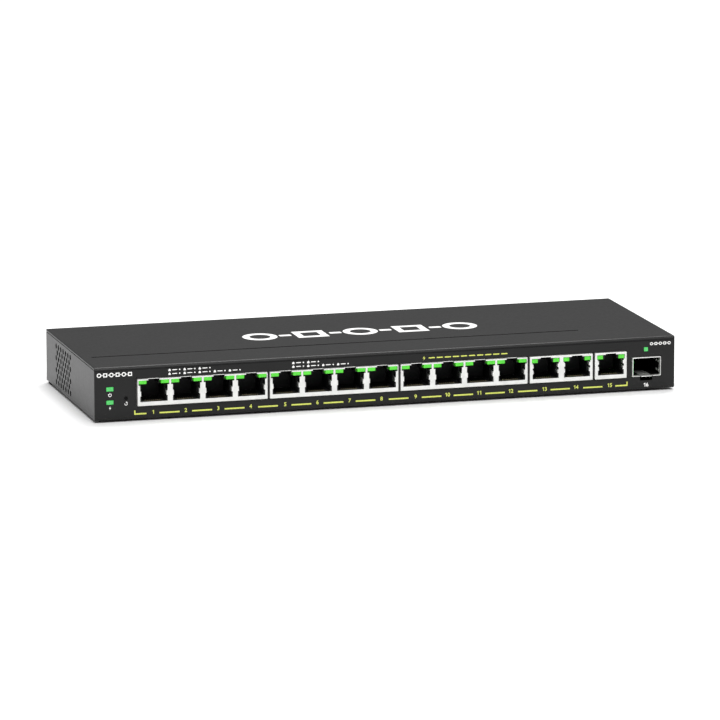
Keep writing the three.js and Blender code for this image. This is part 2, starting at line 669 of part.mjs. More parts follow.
const finish = (color, roughness, metalness) => new THREE.MeshStandardMaterial({ color, roughness, metalness });
const FINISHES = {
  paint: finish(0x2e2e30, 0.5, 0.3),
  plated: finish(0xe2e2e0, 0.3, 0.9),
  moulding: finish(0x0c0c0d, 0.6, 0),
  contact: finish(0xd8b04a, 0.3, 1),
  light: finish(0x52d834, 0.3, 0),
  rubber: finish(0x101010, 0.9, 0),
  board: finish(0x14502a, 0.5, 0),
  zinc: finish(0xb8bac0, 0.35, 0.9),
  aluminium: finish(0x9a9da2, 0.4, 0.9),
  can: finish(0x20242c, 0.4, 0.2),
};

const networkSwitch = new THREE.Group();

/** Adds one named piece. */
function add(name, body, finishName) {
  const mesh = new THREE.Mesh(geometryOf(body), FINISHES[finishName]);
  mesh.name = name;
  networkSwitch.add(mesh);
  return mesh;
}

add("base_tray", baseTray(), "paint");
add("top_cover", topCover(), "paint");
for (const [side, sign] of [["left", -1], ["right", 1]]) {
  add(`foot_rear_${side}`, foot(sign * (RIGHT - REAR_FOOT_INSET.x), BACK - REAR_FOOT_INSET.y), "rubber");
  add(`foot_front_${side}`, foot(sign * (RIGHT - FRONT_FOOT_INSET.x), FRONT + FRONT_FOOT_INSET.y), "rubber");
}

COVER_SCREWS.forEach((x, i) => {
  const mesh = add(`cover_screw_${i + 1}`, screw({ head: 2.7, headHeight: 1.5, shank: 1.2, length: 5 }), "zinc");
  mesh.rotation.x = -Math.PI / 2;
  mesh.position.set(x, BACK + 0.05, faceZ(COVER_SCREW_Z));
});

add("main_board", mainBoard(), "board");
STANDOFFS.forEach(([x, y], i) => {
  add(`standoff_${i + 1}`, standoff(x, y), "zinc");
  const mesh = add(`board_screw_${i + 1}`, screw({ head: 2.7, headHeight: 1.8, shank: 1.25, length: 4.2 }), "zinc");
  mesh.position.set(x, y, BOARD_TOP + 0.05);
});

for (const jack of jackBlocks) {
  add(`jack_shield_${jack.name}`, jackShield(jack), "plated");
  add(`jack_housing_${jack.name}`, jackHousing(jack), "moulding");
  add(`jack_contacts_${jack.name}`, jackContacts(jack), "contact");
  add(`jack_lights_${jack.name}`, jackLights(jack), "light");
}

add("sfp_cage", sfpCage(), "plated");
add("sfp_latch", sfpLatch(), "plated");
add("sfp_connector", sfpConnector(), "moulding");
add("power_light_pipe", panelLight(POWER_LIGHT, FRONT + 13), "light");
add("poe_light_pipe", panelLight(POE_LIGHT, FRONT + 8), "light");
add("sfp_light_pipe", sfpLight(), "light");
add("reset_switch", resetSwitch(), "moulding");
add("reset_plunger", resetPlunger(), "moulding");

add("inlet_body", inletBody(), "moulding");
add("inlet_pin", inletPin(), "plated");
add("inlet_spring", inletSpring(), "plated");

add("switch_chip", onBoard(CHIP.x, CHIP.y, CHIP.size, CHIP.size, CHIP.height), "moulding");
add("heatsink", heatsink(), "aluminium");
add("poe_chip_left", onBoard(-80, 8, 10, 10, 1), "moulding");
add("poe_chip_right", onBoard(45, 8, 10, 10, 1), "moulding");
const MAGNETICS = [jackBlocks[0].middle, jackBlocks[1].middle, jackBlocks[2].middle, 92];
MAGNETICS.forEach((x, i) => add(`magnetics_${i + 1}`, onBoard(x, -21, 36, 14, 6), "moulding"));
add("bulk_capacitor_1", capacitor(60, 32, 5, 15), "can");
add("bulk_capacitor_2", capacitor(73, 32, 5, 15), "can");
add("power_inductor", onBoard(42, 32, 12, 12, 7), "moulding");

export default networkSwitch;
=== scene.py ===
"""A sixteen-port desktop Ethernet switch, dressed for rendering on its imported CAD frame.

Shapes are built in millimetres and scaled to metres as each piece is placed. Face measures run from
the case's left edge and from the underside of its tray, as they do in the CAD part.
"""
import math

import bmesh
import bpy
from mathutils import Matrix, Vector


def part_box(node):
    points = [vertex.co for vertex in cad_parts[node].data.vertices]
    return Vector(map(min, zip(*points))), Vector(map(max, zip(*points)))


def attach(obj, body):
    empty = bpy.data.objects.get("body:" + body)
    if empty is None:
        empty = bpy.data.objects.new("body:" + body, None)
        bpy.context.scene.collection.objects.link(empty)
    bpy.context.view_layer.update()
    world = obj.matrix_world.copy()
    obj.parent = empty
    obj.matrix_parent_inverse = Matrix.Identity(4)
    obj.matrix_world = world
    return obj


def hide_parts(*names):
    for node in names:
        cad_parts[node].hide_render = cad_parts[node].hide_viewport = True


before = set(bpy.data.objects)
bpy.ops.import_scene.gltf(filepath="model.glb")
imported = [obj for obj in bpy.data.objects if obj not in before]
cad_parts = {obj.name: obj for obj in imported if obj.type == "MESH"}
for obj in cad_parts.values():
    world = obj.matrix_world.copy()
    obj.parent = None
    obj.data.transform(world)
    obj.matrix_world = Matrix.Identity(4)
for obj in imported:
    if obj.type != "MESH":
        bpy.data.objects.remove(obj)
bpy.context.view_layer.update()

MM = 0.001


def cad_range(node):
    """A CAD node's x, y and z ranges at rest, in millimetres."""
    low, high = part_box(node)
    return [(low[i] / MM, high[i] / MM) for i in range(3)]


# ---------------------------------------------------------------- dimensions

TRAY_X, TRAY_Y, TRAY_Z = cad_range("base_tray")
LID_Z = cad_range("top_cover")[2]
LEFT, RIGHT = TRAY_X
FRONT, BACK = TRAY_Y
UNDERSIDE = TRAY_Z[0]
PRINT = 0.04  # thickness of printed ink
TOP = LID_Z[1] - PRINT  # the lid's surface, with room for its print inside the CAD box

SHEET = 0.8
CORNER_RADIUS = 0.6
INNER_RADIUS = 0.3  # at the tray's inner corners
LID_BEND = 0.4
LID_FRONT_BEND = 1.6
LIP_ABOVE_WALL = 0.25  # from the lid's lip down to the top of the CAD tray's walls
FRONT_LIP_EXTRA = 0.65  # how much lower the lip hangs in front
LID_LIP = LID_Z[1] - TRAY_Z[1] - LIP_ABOVE_WALL
LID_FRONT_LIP = LID_LIP + FRONT_LIP_EXTRA
FLANGE_FOOT = 20.8  # how low the lid's inner flange reaches
FLANGE_GAP = 0.15
SEAM = 0.3
FRONT_SEAM = 0.08
CUT_EDGE = 0.12  # how far a cut edge in the sheet metal is broken

VENT = {"rows": 7, "columns": 7, "pitch_y": 4.95, "pitch_z": 2.9, "y": 13.85, "z": 12.2, "radius": 1.3}
GROOVE = {"left": 4.8, "right": 245.7, "from_front": 26, "width": 1.5, "depth": 0.4}
KEYHOLE = {"spread": 75, "y": 2, "head": 4, "neck": 2.1, "length": 8}
LOCK_SLOT = {"x": -90, "z": 12.5, "width": 7, "height": 3}
RESET_HOLE = 0.9  # radius
INLET_HOLE = 4.6
SCREW_HOLE = 1.7
LATCH_NOTCH_BOTTOM = 4.25
COVER_SCREWS = ("cover_screw_1", "cover_screw_2", "cover_screw_3")

PORT_PITCH = 15.75
BLOCKS = {"1_4": 4, "5_8": 4, "9_12": 4, "13_14": 2, "15": 1}
SHELL = 0.3
WIRES = 8  # contacts in a port
WIRE_PITCH = 1.02
WIRE_WIDTH = 0.42
PLUG = {"half": 5.95, "top": 16.2, "slot_half": 3.0, "depth": 14.5}
GANGED = {
    "cavity_half": 6.6, "cavity_bottom": 8.25, "ledge": 16.1, "zone_half": 7.4, "zone_top": 18.5,
    "notch_half": 2.7, "notch_top": 19.5, "light_inner": 3.5, "light_outer": 7.3, "light_bottom": 16.75,
    "light_forward": 0, "tabs": [(10.9, 13.2)],
}
SINGLE = {
    "cavity_half": 6.5, "cavity_bottom": 8.25, "ledge": 15.9, "zone_half": 6.95, "zone_top": 18.1,
    "notch_half": 2.6, "notch_top": 18.6, "light_inner": 3.85, "light_outer": 6.85, "light_bottom": 16.0,
    "light_forward": 0.4, "tabs": [(10.6, 12.4), (13.5, 15.2)],
}
STYLES = {"1_4": GANGED, "5_8": GANGED, "9_12": GANGED, "13_14": SINGLE, "15": SINGLE}

# The camera: where it looks from, as seen from the middle of the view, and a lens on a 36 mm sensor.
CAMERA_AZIMUTH = math.radians(-15.872)
CAMERA_ELEVATION = math.radians(11.302)
CAMERA_ROLL = math.radians(-0.061)
CAMERA_DISTANCE = 2.790
CAMERA_LENS = 294.35
CAMERA_RIGHT_OF_MIDDLE = -0.01355
CAMERA_ABOVE_MIDDLE = 0.02088
CAMERA_ORIGIN = Vector((0, FRONT, UNDERSIDE)) * MM


def face_x(x):
    return LEFT + x


def face_z(z):
    return UNDERSIDE + z


def about(middle, half):
    return (middle - half, middle + half)


# ---------------------------------------------------------------- mesh work

# An outline's two coordinates, then the axis that its prism runs along.
AXES = {"x": (1, 2, 0), "y": (0, 2, 1), "z": (0, 1, 2)}


def solid(vertices, faces):
    """A closed mesh object from points in millimetres."""
    shape = bmesh.new()
    corners = [shape.verts.new(point) for point in vertices]
    for face in faces:
        shape.faces.new([corners[i] for i in face])
    bmesh.ops.recalc_face_normals(shape, faces=shape.faces)
    mesh = bpy.data.meshes.new("piece")
    shape.to_mesh(mesh)
    shape.free()
    piece = bpy.data.objects.new("piece", mesh)
    bpy.context.scene.collection.objects.link(piece)
    return piece


def prism(outline, axis, span):
    """An outline pushed along an axis. Its coordinates are the other two axes, in X, Y, Z order."""
    first, second, along = AXES[axis]
    count = len(outline)
    vertices = []
    for level in span:
        for u, v in outline:
            point = [0, 0, 0]
            point[first] = u
            point[second] = v
            point[along] = level
            vertices.append(point)
    ends = [tuple(range(count)), tuple(range(count, 2 * count))]
    sides = [(i, (i + 1) % count, count + (i + 1) % count, count + i) for i in range(count)]
    return solid(vertices, ends + sides)


def block(xs, ys, zs):
    return prism([(xs[0], ys[0]), (xs[1], ys[0]), (xs[1], ys[1]), (xs[0], ys[1])], "z", zs)


def lathe(profile, centre, axis, steps=32):
    """A turned solid. The profile is (radius, height) pairs that start and end on the axis."""
    first, second, along = AXES[axis]
    vertices = []
    rings = []
    for radius, height in profile:
        turns = 1 if radius < 1e-6 else steps
        rings.append(list(range(len(vertices), len(vertices) + turns)))
        for i in range(turns):
            angle = 2 * math.pi * i / steps
            point = list(centre)
            point[first] += radius * math.cos(angle)
            point[second] += radius * math.sin(angle)
            point[along] += height
            vertices.append(point)
    faces = []
    for lower, upper in zip(rings, rings[1:]):
        for i in range(steps):
            j = (i + 1) % steps
            corners = [lower[i % len(lower)], lower[j % len(lower)]]
            corners += [upper[j % len(upper)], upper[i % len(upper)]]
            faces.append(tuple(dict.fromkeys(corners)))
    return solid(vertices, faces)


def arc(centre, radius, start, end, steps=6):
    """Points on an arc, with its angles in degrees."""
    points = []
    for i in range(steps + 1):
        angle = math.radians(start + (end - start) * i / steps)
        points.append((centre[0] + radius * math.cos(angle), centre[1] + radius * math.sin(angle)))
    return points


def circle(centre, radius, steps=24):
    return arc(centre, radius, 0, 360, steps)[:-1]


def rounded_rectangle(us, vs, radius, steps=5):
    corners = [(us[1], vs[0], -90), (us[1], vs[1], 0), (us[0], vs[1], 90), (us[0], vs[0], 180)]
    outline = []
    for u, v, start in corners:
        centre = (u - radius if u == us[1] else u + radius, v - radius if v == vs[1] else v + radius)
        outline += arc(centre, radius, start, start + 90, steps)
    return outline


def join(pieces):
    """Several separate solids as one object."""
    shape = bmesh.new()
    for piece in pieces:
        shape.from_mesh(piece.data)
        bpy.data.objects.remove(piece)
    mesh = bpy.data.meshes.new("piece")
    shape.to_mesh(mesh)
    shape.free()
    joined = bpy.data.objects.new("piece", mesh)
    bpy.context.scene.collection.objects.link(joined)
    return joined


def settle(piece):
    """Applies a piece's modifiers to its mesh."""
    depsgraph = bpy.context.evaluated_depsgraph_get()
    mesh = bpy.data.meshes.new_from_object(piece.evaluated_get(depsgraph))
    piece.modifiers.clear()
    piece.data = mesh
    return piece


def combine(piece, tool, operation):
    change = piece.modifiers.new("boolean", "BOOLEAN")
    change.operation = operation
    change.solver = "EXACT"
    change.object = tool
    settle(piece)
    bpy.data.objects.remove(tool)
    return piece


def cut(piece, *groups):
    """Cuts groups of tools from a piece. The tools of a group don't overlap each other."""
    for tools in groups:
        combine(piece, join(tools), "DIFFERENCE")
    return piece


def folded(xs, ys, zs, radius_of):
    """A box with rounded edges.

    An edge is known by which side of each axis it is on: -1, 1, or 0 for the axis it runs along.
    """
    piece = block(xs, ys, zs)
    mesh = piece.data
    middle = [(span[0] + span[1]) / 2 for span in (xs, ys, zs)]
    half = [(span[1] - span[0]) / 2 for span in (xs, ys, zs)]
    radii = []
    for edge in mesh.edges:
        place = (mesh.vertices[edge.vertices[0]].co + mesh.vertices[edge.vertices[1]].co) / 2
        radii.append(radius_of(*[round((place[i] - middle[i]) / half[i]) for i in range(3)]))
    widest = max(radii)
    weights = mesh.attributes.new("bevel_weight_edge", "FLOAT", "EDGE")
    weights.data.foreach_set("value", [radius / widest for radius in radii])
    bend = piece.modifiers.new("bend", "BEVEL")
    bend.limit_method = "WEIGHT"
    bend.width = widest
    bend.segments = 4
    settle(piece)
    weights = piece.data.attributes.get("bevel_weight_edge")
    if weights:
        piece.data.attributes.remove(weights)
    return piece


def smooth(piece, angle=32):
    """Shades a piece smooth across edges that are flatter than the angle, and keeps its flat faces flat."""
    piece.data.shade_smooth()
    piece.data.set_sharp_from_angle(angle=math.radians(angle))
    weighting = piece.modifiers.new("weighted normals", "WEIGHTED_NORMAL")
    weighting.keep_sharp = True
    return piece


def merge_flats(piece):
    """Joins a piece's neighbouring faces where they lie in one plane."""
    shape = bmesh.new()
    shape.from_mesh(piece.data)
    bmesh.ops.remove_doubles(shape, verts=shape.verts, dist=0.002)
    bmesh.ops.dissolve_limit(shape, angle_limit=math.radians(0.5), verts=shape.verts, edges=shape.edges)
    shape.to_mesh(piece.data)
    shape.free()


def soften(piece, width, segments=2, angle=38):
    """Breaks a piece's sharp edges with a small round."""
    merge_flats(piece)
    edge = piece.modifiers.new("edge", "BEVEL")
    edge.width = width
    edge.segments = segments
    edge.limit_method = "ANGLE"
    edge.angle_limit = math.radians(angle)
    edge.use_clamp_overlap = False
    settle(piece)
    return smooth(piece)


def to_metres(piece):
    """Splits a piece's many-sided faces into triangles and scales it from millimetres."""
    shape = bmesh.new()
    shape.from_mesh(piece.data)
    many_sided = [face for face in shape.faces if len(face.verts) > 4]
    bmesh.ops.triangulate(shape, faces=many_sided)
    shape.transform(Matrix.Scale(MM, 4))
    shape.to_mesh(piece.data)
    shape.free()


def place(piece, name, finish, slot, nodes=(), body="case"):
    """Names a finished piece, gives it its material and fixes it to its CAD body."""
    to_metres(piece)
    piece.name = name
    piece.data.name = name
    piece.data.materials.clear()
    piece.data.materials.append(finish)
    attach(piece, body)
    if nodes:
        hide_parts(*nodes)
    return piece


# ---------------------------------------------------------------- materials


def srgb(red, green, blue):
    """A colour as a screen shows it, 0 to 255, in Blender's linear values."""
    linear = []
    for level in (red / 255, green / 255, blue / 255):
        linear.append(((level + 0.055) / 1.055) ** 2.4 if level > 0.04045 else level / 12.92)
    return (*linear, 1.0)


class Finish:
    """A material under construction: its Principled shader, and noise textures in the object's own space."""

    def __init__(self, name):
        self.material = bpy.data.materials.new(name)
        self.material.use_nodes = True
        self.nodes = self.material.node_tree.nodes
        self.links = self.material.node_tree.links
        self.shader = self.nodes["Principled BSDF"]
        self.place = self.nodes.new("ShaderNodeTexCoord").outputs["Object"]

    def set(self, **values):
        for name, value in values.items():
            self.shader.inputs[name.replace("_", " ")].default_value = value

    def noise(self, size, detail=3.0, stretch=(1, 1, 1)):
        """Noise with features about size millimetres across. Stretch makes them longer along an axis."""
        spacing = self.nodes.new("ShaderNodeMapping")
        spacing.inputs["Scale"].default_value = [1 / (size * MM * factor) for factor in stretch]
        self.links.new(self.place, spacing.inputs["Vector"])
        texture = self.nodes.new("ShaderNodeTexNoise")
        texture.inputs["Scale"].default_value = 1.0
        texture.inputs["Detail"].default_value = detail
        self.links.new(spacing.outputs["Vector"], texture.inputs["Vector"])
        return texture.outputs["Fac"]

    def spread(self, source, low, high, socket):
        """Drives a shader value from low to high by a noise."""
        span = self.nodes.new("ShaderNodeMapRange")
        span.inputs["From Min"].default_value = 0.3
        span.inputs["From Max"].default_value = 0.7
        span.inputs["To Min"].default_value = low
        span.inputs["To Max"].default_value = high
        self.links.new(source, span.inputs["Value"])
        self.links.new(span.outputs["Result"], self.shader.inputs[socket])

    def tint(self, source, one, other):
        """Varies the base colour between two colours by a source value: a noise for random tone, or a depth
        mask for painted shade.
        """
        ramp = self.nodes.new("ShaderNodeValToRGB")
        ramp.color_ramp.elements[0].position = 0.35
        ramp.color_ramp.elements[1].position = 0.65
        ramp.color_ramp.elements[0].color = one
        ramp.color_ramp.elements[1].color = other
        self.links.new(source, ramp.inputs["Fac"])
        self.links.new(ramp.outputs["Color"], self.shader.inputs["Base Color"])

    def behind(self, near, far):
        """A mask for painted shade: a value that grows from 0 to 1 between two distances along Y, in
        millimetres.
        """
        depth = self.nodes.new("ShaderNodeSeparateXYZ")
        self.links.new(self.place, depth.inputs["Vector"])
        shade = self.nodes.new("ShaderNodeMapRange")
        shade.inputs["From Min"].default_value = near * MM
        shade.inputs["From Max"].default_value = far * MM
        self.links.new(depth.outputs["Y"], shade.inputs["Value"])
        return shade.outputs["Result"]

    def relief(self, source, height):
        """Raises the surface by a noise, height in millimetres."""
        bump = self.nodes.new("ShaderNodeBump")
        bump.inputs["Distance"].default_value = height * MM
        self.links.new(source, bump.inputs["Height"])
        self.links.new(bump.outputs["Normal"], self.shader.inputs["Normal"])

    def surface(self, colors, roughness, height, sizes, stretch=(1, 1, 1)):
        """Varies tone, gloss and relief by three noises of their own sizes, in that order."""
        tone, gloss, grain = sizes
        self.tint(self.noise(tone), *colors)
        self.spread(self.noise(gloss, stretch=stretch), *roughness, "Roughness")
        self.relief(self.noise(grain, stretch=stretch), height)
        return self.material


def powder_coat():
    """Satin black powder coat: a fine orange peel, with slow changes in tone and gloss."""
    finish = Finish("powder_coat")
    finish.set(IOR=1.34)
    finish.tint(finish.noise(30), srgb(18, 18, 18), srgb(21, 21, 21))
    finish.spread(finish.noise(1.5), 0.34, 0.38, "Roughness")
    finish.relief(finish.noise(0.35, detail=1), 0.002)
    return finish.material


def tin_plate():
    """Bright tin plate with faint rolling lines."""
    finish = Finish("tin_plate")
    finish.set(Metallic=1.0)
    colors = (srgb(236, 236, 234), srgb(226, 226, 224))
    return finish.surface(colors, (0.5, 0.6), 0.003, (4, 0.6, 0.3), (12, 1, 1))


def cage_plate():
    """The same plate, with shade painted into its colour behind the cage's mouth, so that its inside looks
    deep and unlit.
    """
    finish = Finish("cage_plate")
    finish.set(Metallic=1.0)
    mouth = cad_range("sfp_cage")[1][0]
    # painted shade: the bright plate darkens to near black from 1.2 to 3 mm behind the mouth
    finish.tint(finish.behind(mouth + 1.2, mouth + 3.0), srgb(236, 236, 234), srgb(38, 38, 39))
    finish.spread(finish.noise(0.6, stretch=(12, 1, 1)), 0.5, 0.6, "Roughness")
    finish.relief(finish.noise(0.3, stretch=(12, 1, 1)), 0.003)
    return finish.material


def black_moulding():
    """Matt black nylon with a fine spark-eroded grain."""
    finish = Finish("black_moulding")
    finish.set(IOR=1.38)
    return finish.surface((srgb(6, 6, 7), srgb(10, 10, 11)), (0.5, 0.65), 0.006, (3, 0.8, 0.12))


def gold_wire():
    """Gold flash on spring wire, with shade painted into its colour away from the jack's mouth, so that it
    looks deep and unlit.
    """
    finish = Finish("gold_wire")
    finish.set(Metallic=1.0)
    bend = cad_range("jack_contacts_15")[1][0]
    # painted shade: the gold darkens to near black from 0.6 to 3 mm behind the contacts' front
    finish.tint(finish.behind(bend + 0.6, bend + 3.0), srgb(112, 104, 84), srgb(34, 31, 24))
    finish.spread(finish.noise(0.5), 0.3, 0.42, "Roughness")
    finish.relief(finish.noise(0.1), 0.002)
    return finish.material


def lit_lens(name, dim, bright, glow):
    """A lit light pipe: an uneven green with a faint glow and a glossy face."""
    finish = Finish(name)
    finish.tint(finish.noise(1.2), dim, bright)
    finish.set(Emission_Color=bright, Emission_Strength=glow, Coat_Weight=0.3)
    finish.spread(finish.noise(0.6), 0.18, 0.3, "Roughness")
    finish.relief(finish.noise(0.4), 0.01)
    return finish.material


def rubber():
    """Black rubber with a matt, slightly dusty skin."""
    finish = Finish("rubber")
    return finish.surface((srgb(24, 24, 24), srgb(34, 34, 34)), (0.75, 0.9), 0.01, (1.5, 1, 0.2))


def zinc_plate():
    """Bright zinc plate on turned steel."""
    finish = Finish("zinc_plate")
    finish.set(Metallic=1.0)
    colors = (srgb(196, 199, 206), srgb(174, 176, 184))
    return finish.surface(colors, (0.25, 0.4), 0.004, (1.5, 0.5, 0.2))


def anodised():
    """Extruded aluminium with lines along its length."""
    finish = Finish("anodised")
    finish.set(Metallic=1.0)
    colors = (srgb(150, 152, 158), srgb(164, 166, 170))
    return finish.surface(colors, (0.35, 0.5), 0.006, (5, 0.5, 0.3), (1, 14, 1))


def solder_mask():
    """Green solder mask over a woven laminate."""
    finish = Finish("solder_mask")
    return finish.surface((srgb(20, 84, 44), srgb(26, 98, 52)), (0.3, 0.45), 0.01, (2, 1, 0.5))


def ink(name, color, worn):
    """Screen-printed ink, a little uneven."""
    finish = Finish(name)
    return finish.surface((worn, color), (0.5, 0.65), 0.004, (0.7, 0.4, 0.1))


PAINT = powder_coat()
PLATE = tin_plate()
CAGE_PLATE_PAINTED_SHADE = cage_plate()
MOULDING = black_moulding()
GOLD_PAINTED_SHADE = gold_wire()
PORT_GREEN = lit_lens("port_lens", srgb(60, 190, 24), srgb(76, 206, 34), 0.06)
PANEL_GREEN = lit_lens("panel_lens", srgb(60, 180, 84), srgb(72, 196, 96), 0.04)
RUBBER = rubber()
ZINC = zinc_plate()
ALUMINIUM = anodised()
BOARD = solder_mask()
WHITE_INK = ink("white_ink", srgb(252, 252, 250), srgb(246, 246, 244))
YELLOW_INK = ink("yellow_ink", srgb(214, 222, 104), srgb(204, 212, 92))


# ---------------------------------------------------------------- case


def window_outline(us, vs):
    return rounded_rectangle(us, vs, 0.2, 2)


def round_hole(node, radius, steps, ys):
    """A round hole along Y, in line with a CAD node."""
    xs, _, zs = cad_range(node)
    return prism(circle((sum(xs) / 2, sum(zs) / 2), radius, steps), "y", ys)


def vent_holes(xs):
    """The staggered grid of round vents through a side wall."""
    tools = []
    for row in range(VENT["rows"]):
        count = VENT["columns"] - row % 2
        z = face_z(VENT["z"]) + (row - (VENT["rows"] - 1) / 2) * VENT["pitch_z"]
        for i in range(count):
            y = VENT["y"] + (i - (count - 1) / 2) * VENT["pitch_y"]
            tools.append(prism(circle((y, z), VENT["radius"], 20), "x", xs))
    return tools


def front_windows(ys):
    """The openings in the front wall: jack blocks, SFP cage, indicators and reset hole."""
    tools = []
    for name in BLOCKS:
        xs, _, zs = cad_range(f"jack_shield_{name}")
        tools.append(prism(window_outline((xs[0] - 0.2, xs[1] + 0.2), (zs[0] - 0.25, zs[1] + 0.2)), "y", ys))
    xs, _, zs = cad_range("sfp_cage")
    tools.append(prism(window_outline((xs[0] - 0.2, xs[1] + 0.2), (zs[0] - 0.2, zs[1] + 0.2)), "y", ys))
    for lens in LENSES:
        xs, zs = lens_window(lens)
        tools.append(prism(window_outline((xs[0] - 0.1, xs[1] + 0.1), (zs[0] - 0.1, zs[1] + 0.1)), "y", ys))
    return tools + [round_hole("reset_plunger", RESET_HOLE, 20, ys)]


def latch_window(ys):
    """The notch under the SFP opening where the latch swings."""
    xs = cad_range("sfp_latch")[0]
    bottom = cad_range("sfp_cage")[2][0]
    zs = (face_z(LATCH_NOTCH_BOTTOM), bottom + 0.5)
    return prism(window_outline((xs[0] - 0.4, xs[1] + 0.4), zs), "y", ys)


def back_openings(ys):
    """The openings in the back wall: power inlet, lock slot and lid screws."""
    tools = [round_hole("inlet_pin", INLET_HOLE, 32, ys)]
    slot_xs = about(LOCK_SLOT["x"], LOCK_SLOT["width"] / 2)
    slot_zs = about(face_z(LOCK_SLOT["z"]), LOCK_SLOT["height"] / 2)
    tools.append(prism(rounded_rectangle(slot_xs, slot_zs, 0.7), "y", ys))
    return tools + [round_hole(screw, SCREW_HOLE, 20, ys) for screw in COVER_SCREWS]


def keyholes(zs):
    """Two keyholes in the floor, each a round head and a round-ended neck towards the back."""
    tools = []
    for x in (-KEYHOLE["spread"], KEYHOLE["spread"]):
        y = KEYHOLE["y"]
        head = KEYHOLE["head"]
        neck = KEYHOLE["neck"]
        meet = math.degrees(math.acos(neck / head))
        outline = arc((x, y), head, 180 - meet, 360 + meet, 24)
        outline += arc((x, y + KEYHOLE["length"]), neck, 0, 180, 12)
        tools.append(prism(outline, "z", zs))
    return tools


def tray():
    """The folded tray, with every opening in its walls and floor."""
    wall_top = LID_Z[1] - LID_LIP - SEAM
    front_top = LID_Z[1] - LID_FRONT_LIP - FRONT_SEAM

    def bend(radius):
        return lambda x, y, z: 0 if z > 0 else radius

    piece = folded(TRAY_X, TRAY_Y, (UNDERSIDE, wall_top), bend(CORNER_RADIUS))
    inner = [(span[0] + SHEET, span[1] - SHEET) for span in (TRAY_X, TRAY_Y)]
    hollow = folded(*inner, (UNDERSIDE + SHEET, wall_top + 2), bend(INNER_RADIUS))
    combine(piece, hollow, "DIFFERENCE")
    cut(
        piece,
        [block((LEFT - 1, RIGHT + 1), (FRONT - 1, FRONT + SHEET + 0.05), (front_top, wall_top + 1))],
        front_windows((FRONT - 1, FRONT + SHEET + 0.4)),
        [latch_window((FRONT - 1, FRONT + SHEET + 0.4))],
        back_openings((BACK - SHEET - 0.4, BACK + 1)),
        vent_holes((LEFT - 1, LEFT + SHEET + 0.4)),
        vent_holes((RIGHT - SHEET - 0.4, RIGHT + 1)),
        keyholes((UNDERSIDE - 1, UNDERSIDE + SHEET + 0.4)),
    )
    return place(soften(piece, CUT_EDGE), "steel_tray", PAINT, "case_paint", ["base_tray"])


def lid_flange():
    """The upright flange under the lid that drops inside the tray's walls."""

    def core(inset, zs):
        return block((LEFT + inset, RIGHT - inset), (FRONT + inset, BACK - inset), zs)

    foot_z = face_z(FLANGE_FOOT)
    edge = SHEET + FLANGE_GAP
    outer = core(edge, (foot_z, TOP - SHEET + 0.1))
    return cut(outer, [core(edge + SHEET - 0.1, (foot_z - 0.8, TOP))])


def lid():
    """The lid: a flat sheet with rolled edges, a longer lip in front and a pressed groove."""

    def bend(x, y, z):
        if z < 0:
            return 0
        if z == 0:
            return CORNER_RADIUS
        return LID_FRONT_BEND if y < 0 else LID_BEND

    below = LID_Z[1] - LID_FRONT_LIP
    piece = folded(TRAY_X, TRAY_Y, (below, TOP), bend)
    inner_xs = (LEFT + SHEET, RIGHT - SHEET)
    cut(
        piece,
        [block((LEFT - 1, RIGHT + 1), (FRONT + SHEET, BACK + 1), (below - 1, LID_Z[1] - LID_LIP))],
        [block(inner_xs, (FRONT + SHEET, BACK - SHEET), (below - 2, TOP - SHEET))],
    )
    groove_y = FRONT + GROOVE["from_front"]
    half = GROOVE["width"] / 2
    ends = (face_x(GROOVE["left"]), face_x(GROOVE["right"]))
    groove = rounded_rectangle(ends, about(groove_y, half), half - 0.01, 8)
    cut(piece, [prism(groove, "z", (TOP - GROOVE["depth"], TOP + 1))])
    combine(piece, lid_flange(), "UNION")
    return place(soften(piece, CUT_EDGE), "steel_lid", PAINT, "case_paint", ["top_cover"])


def foot(node):
    """A round stick-on rubber foot with a soft edge and a shallow dish underneath."""
    xs, ys, zs = cad_range(node)
    radius = (xs[1] - xs[0]) / 2
    height = zs[1] - zs[0]
    round_edge = 0.45
    profile = [(0, 0.12), (radius * 0.35, 0.1), (radius * 0.6, 0)]
    profile += [(radius + x, z) for x, z in arc((-round_edge, round_edge), round_edge, -90, 0)]
    profile += [(radius - 0.05, height), (0, height)]
    piece = lathe(profile, (sum(xs) / 2, sum(ys) / 2, zs[0]), "z", 48)
    return place(smooth(piece, 50), f"rubber_{node}", RUBBER, "foot_rubber", [node])


def cross(centre, arm, half):
    """The outline of a cross, for a screw's recess."""
    x, z = centre
    quarter = [(half, arm), (half, half), (arm, half), (arm, -half), (half, -half), (half, -arm)]
    return [(x + u, z + v) for u, v in quarter] + [(x - u, z - v) for u, v in quarter]


def cover_screw(node):
    """A pan-head lid screw with a cross recess."""
    xs, ys, zs = cad_range(node)
    centre = (sum(xs) / 2, sum(zs) / 2)
    head = (xs[1] - xs[0]) / 2
    seat = BACK + 0.05
    rise = ys[1] - seat
    profile = [(0, ys[0] - seat), (1.0, ys[0] - seat), (1.2, ys[0] - seat + 0.3), (1.2, 0), (head, 0)]
    profile += [(head - 0.55 + x, z) for x, z in arc((0, rise * 0.35), 0.55, 0, 60, 5)]
    profile += [(head * 0.45, rise), (0, rise)]
    piece = lathe(profile, (centre[0], seat, centre[1]), "y", 40)
    cut(piece, [prism(cross(centre, head * 0.52, 0.32), "y", (seat + rise * 0.35, seat + rise + 1))])
    return place(smooth(piece, 35), f"{node}_pan_head", ZINC, "zinc_steel", [node])


# ---------------------------------------------------------------- RJ45 jacks


def port_middles(name):
    """The middle of each port in a jack block."""
    xs = cad_range(f"jack_shield_{name}")[0]
    ports = BLOCKS[name]
    return [sum(xs) / 2 + (i - (ports - 1) / 2) * PORT_PITCH for i in range(ports)]


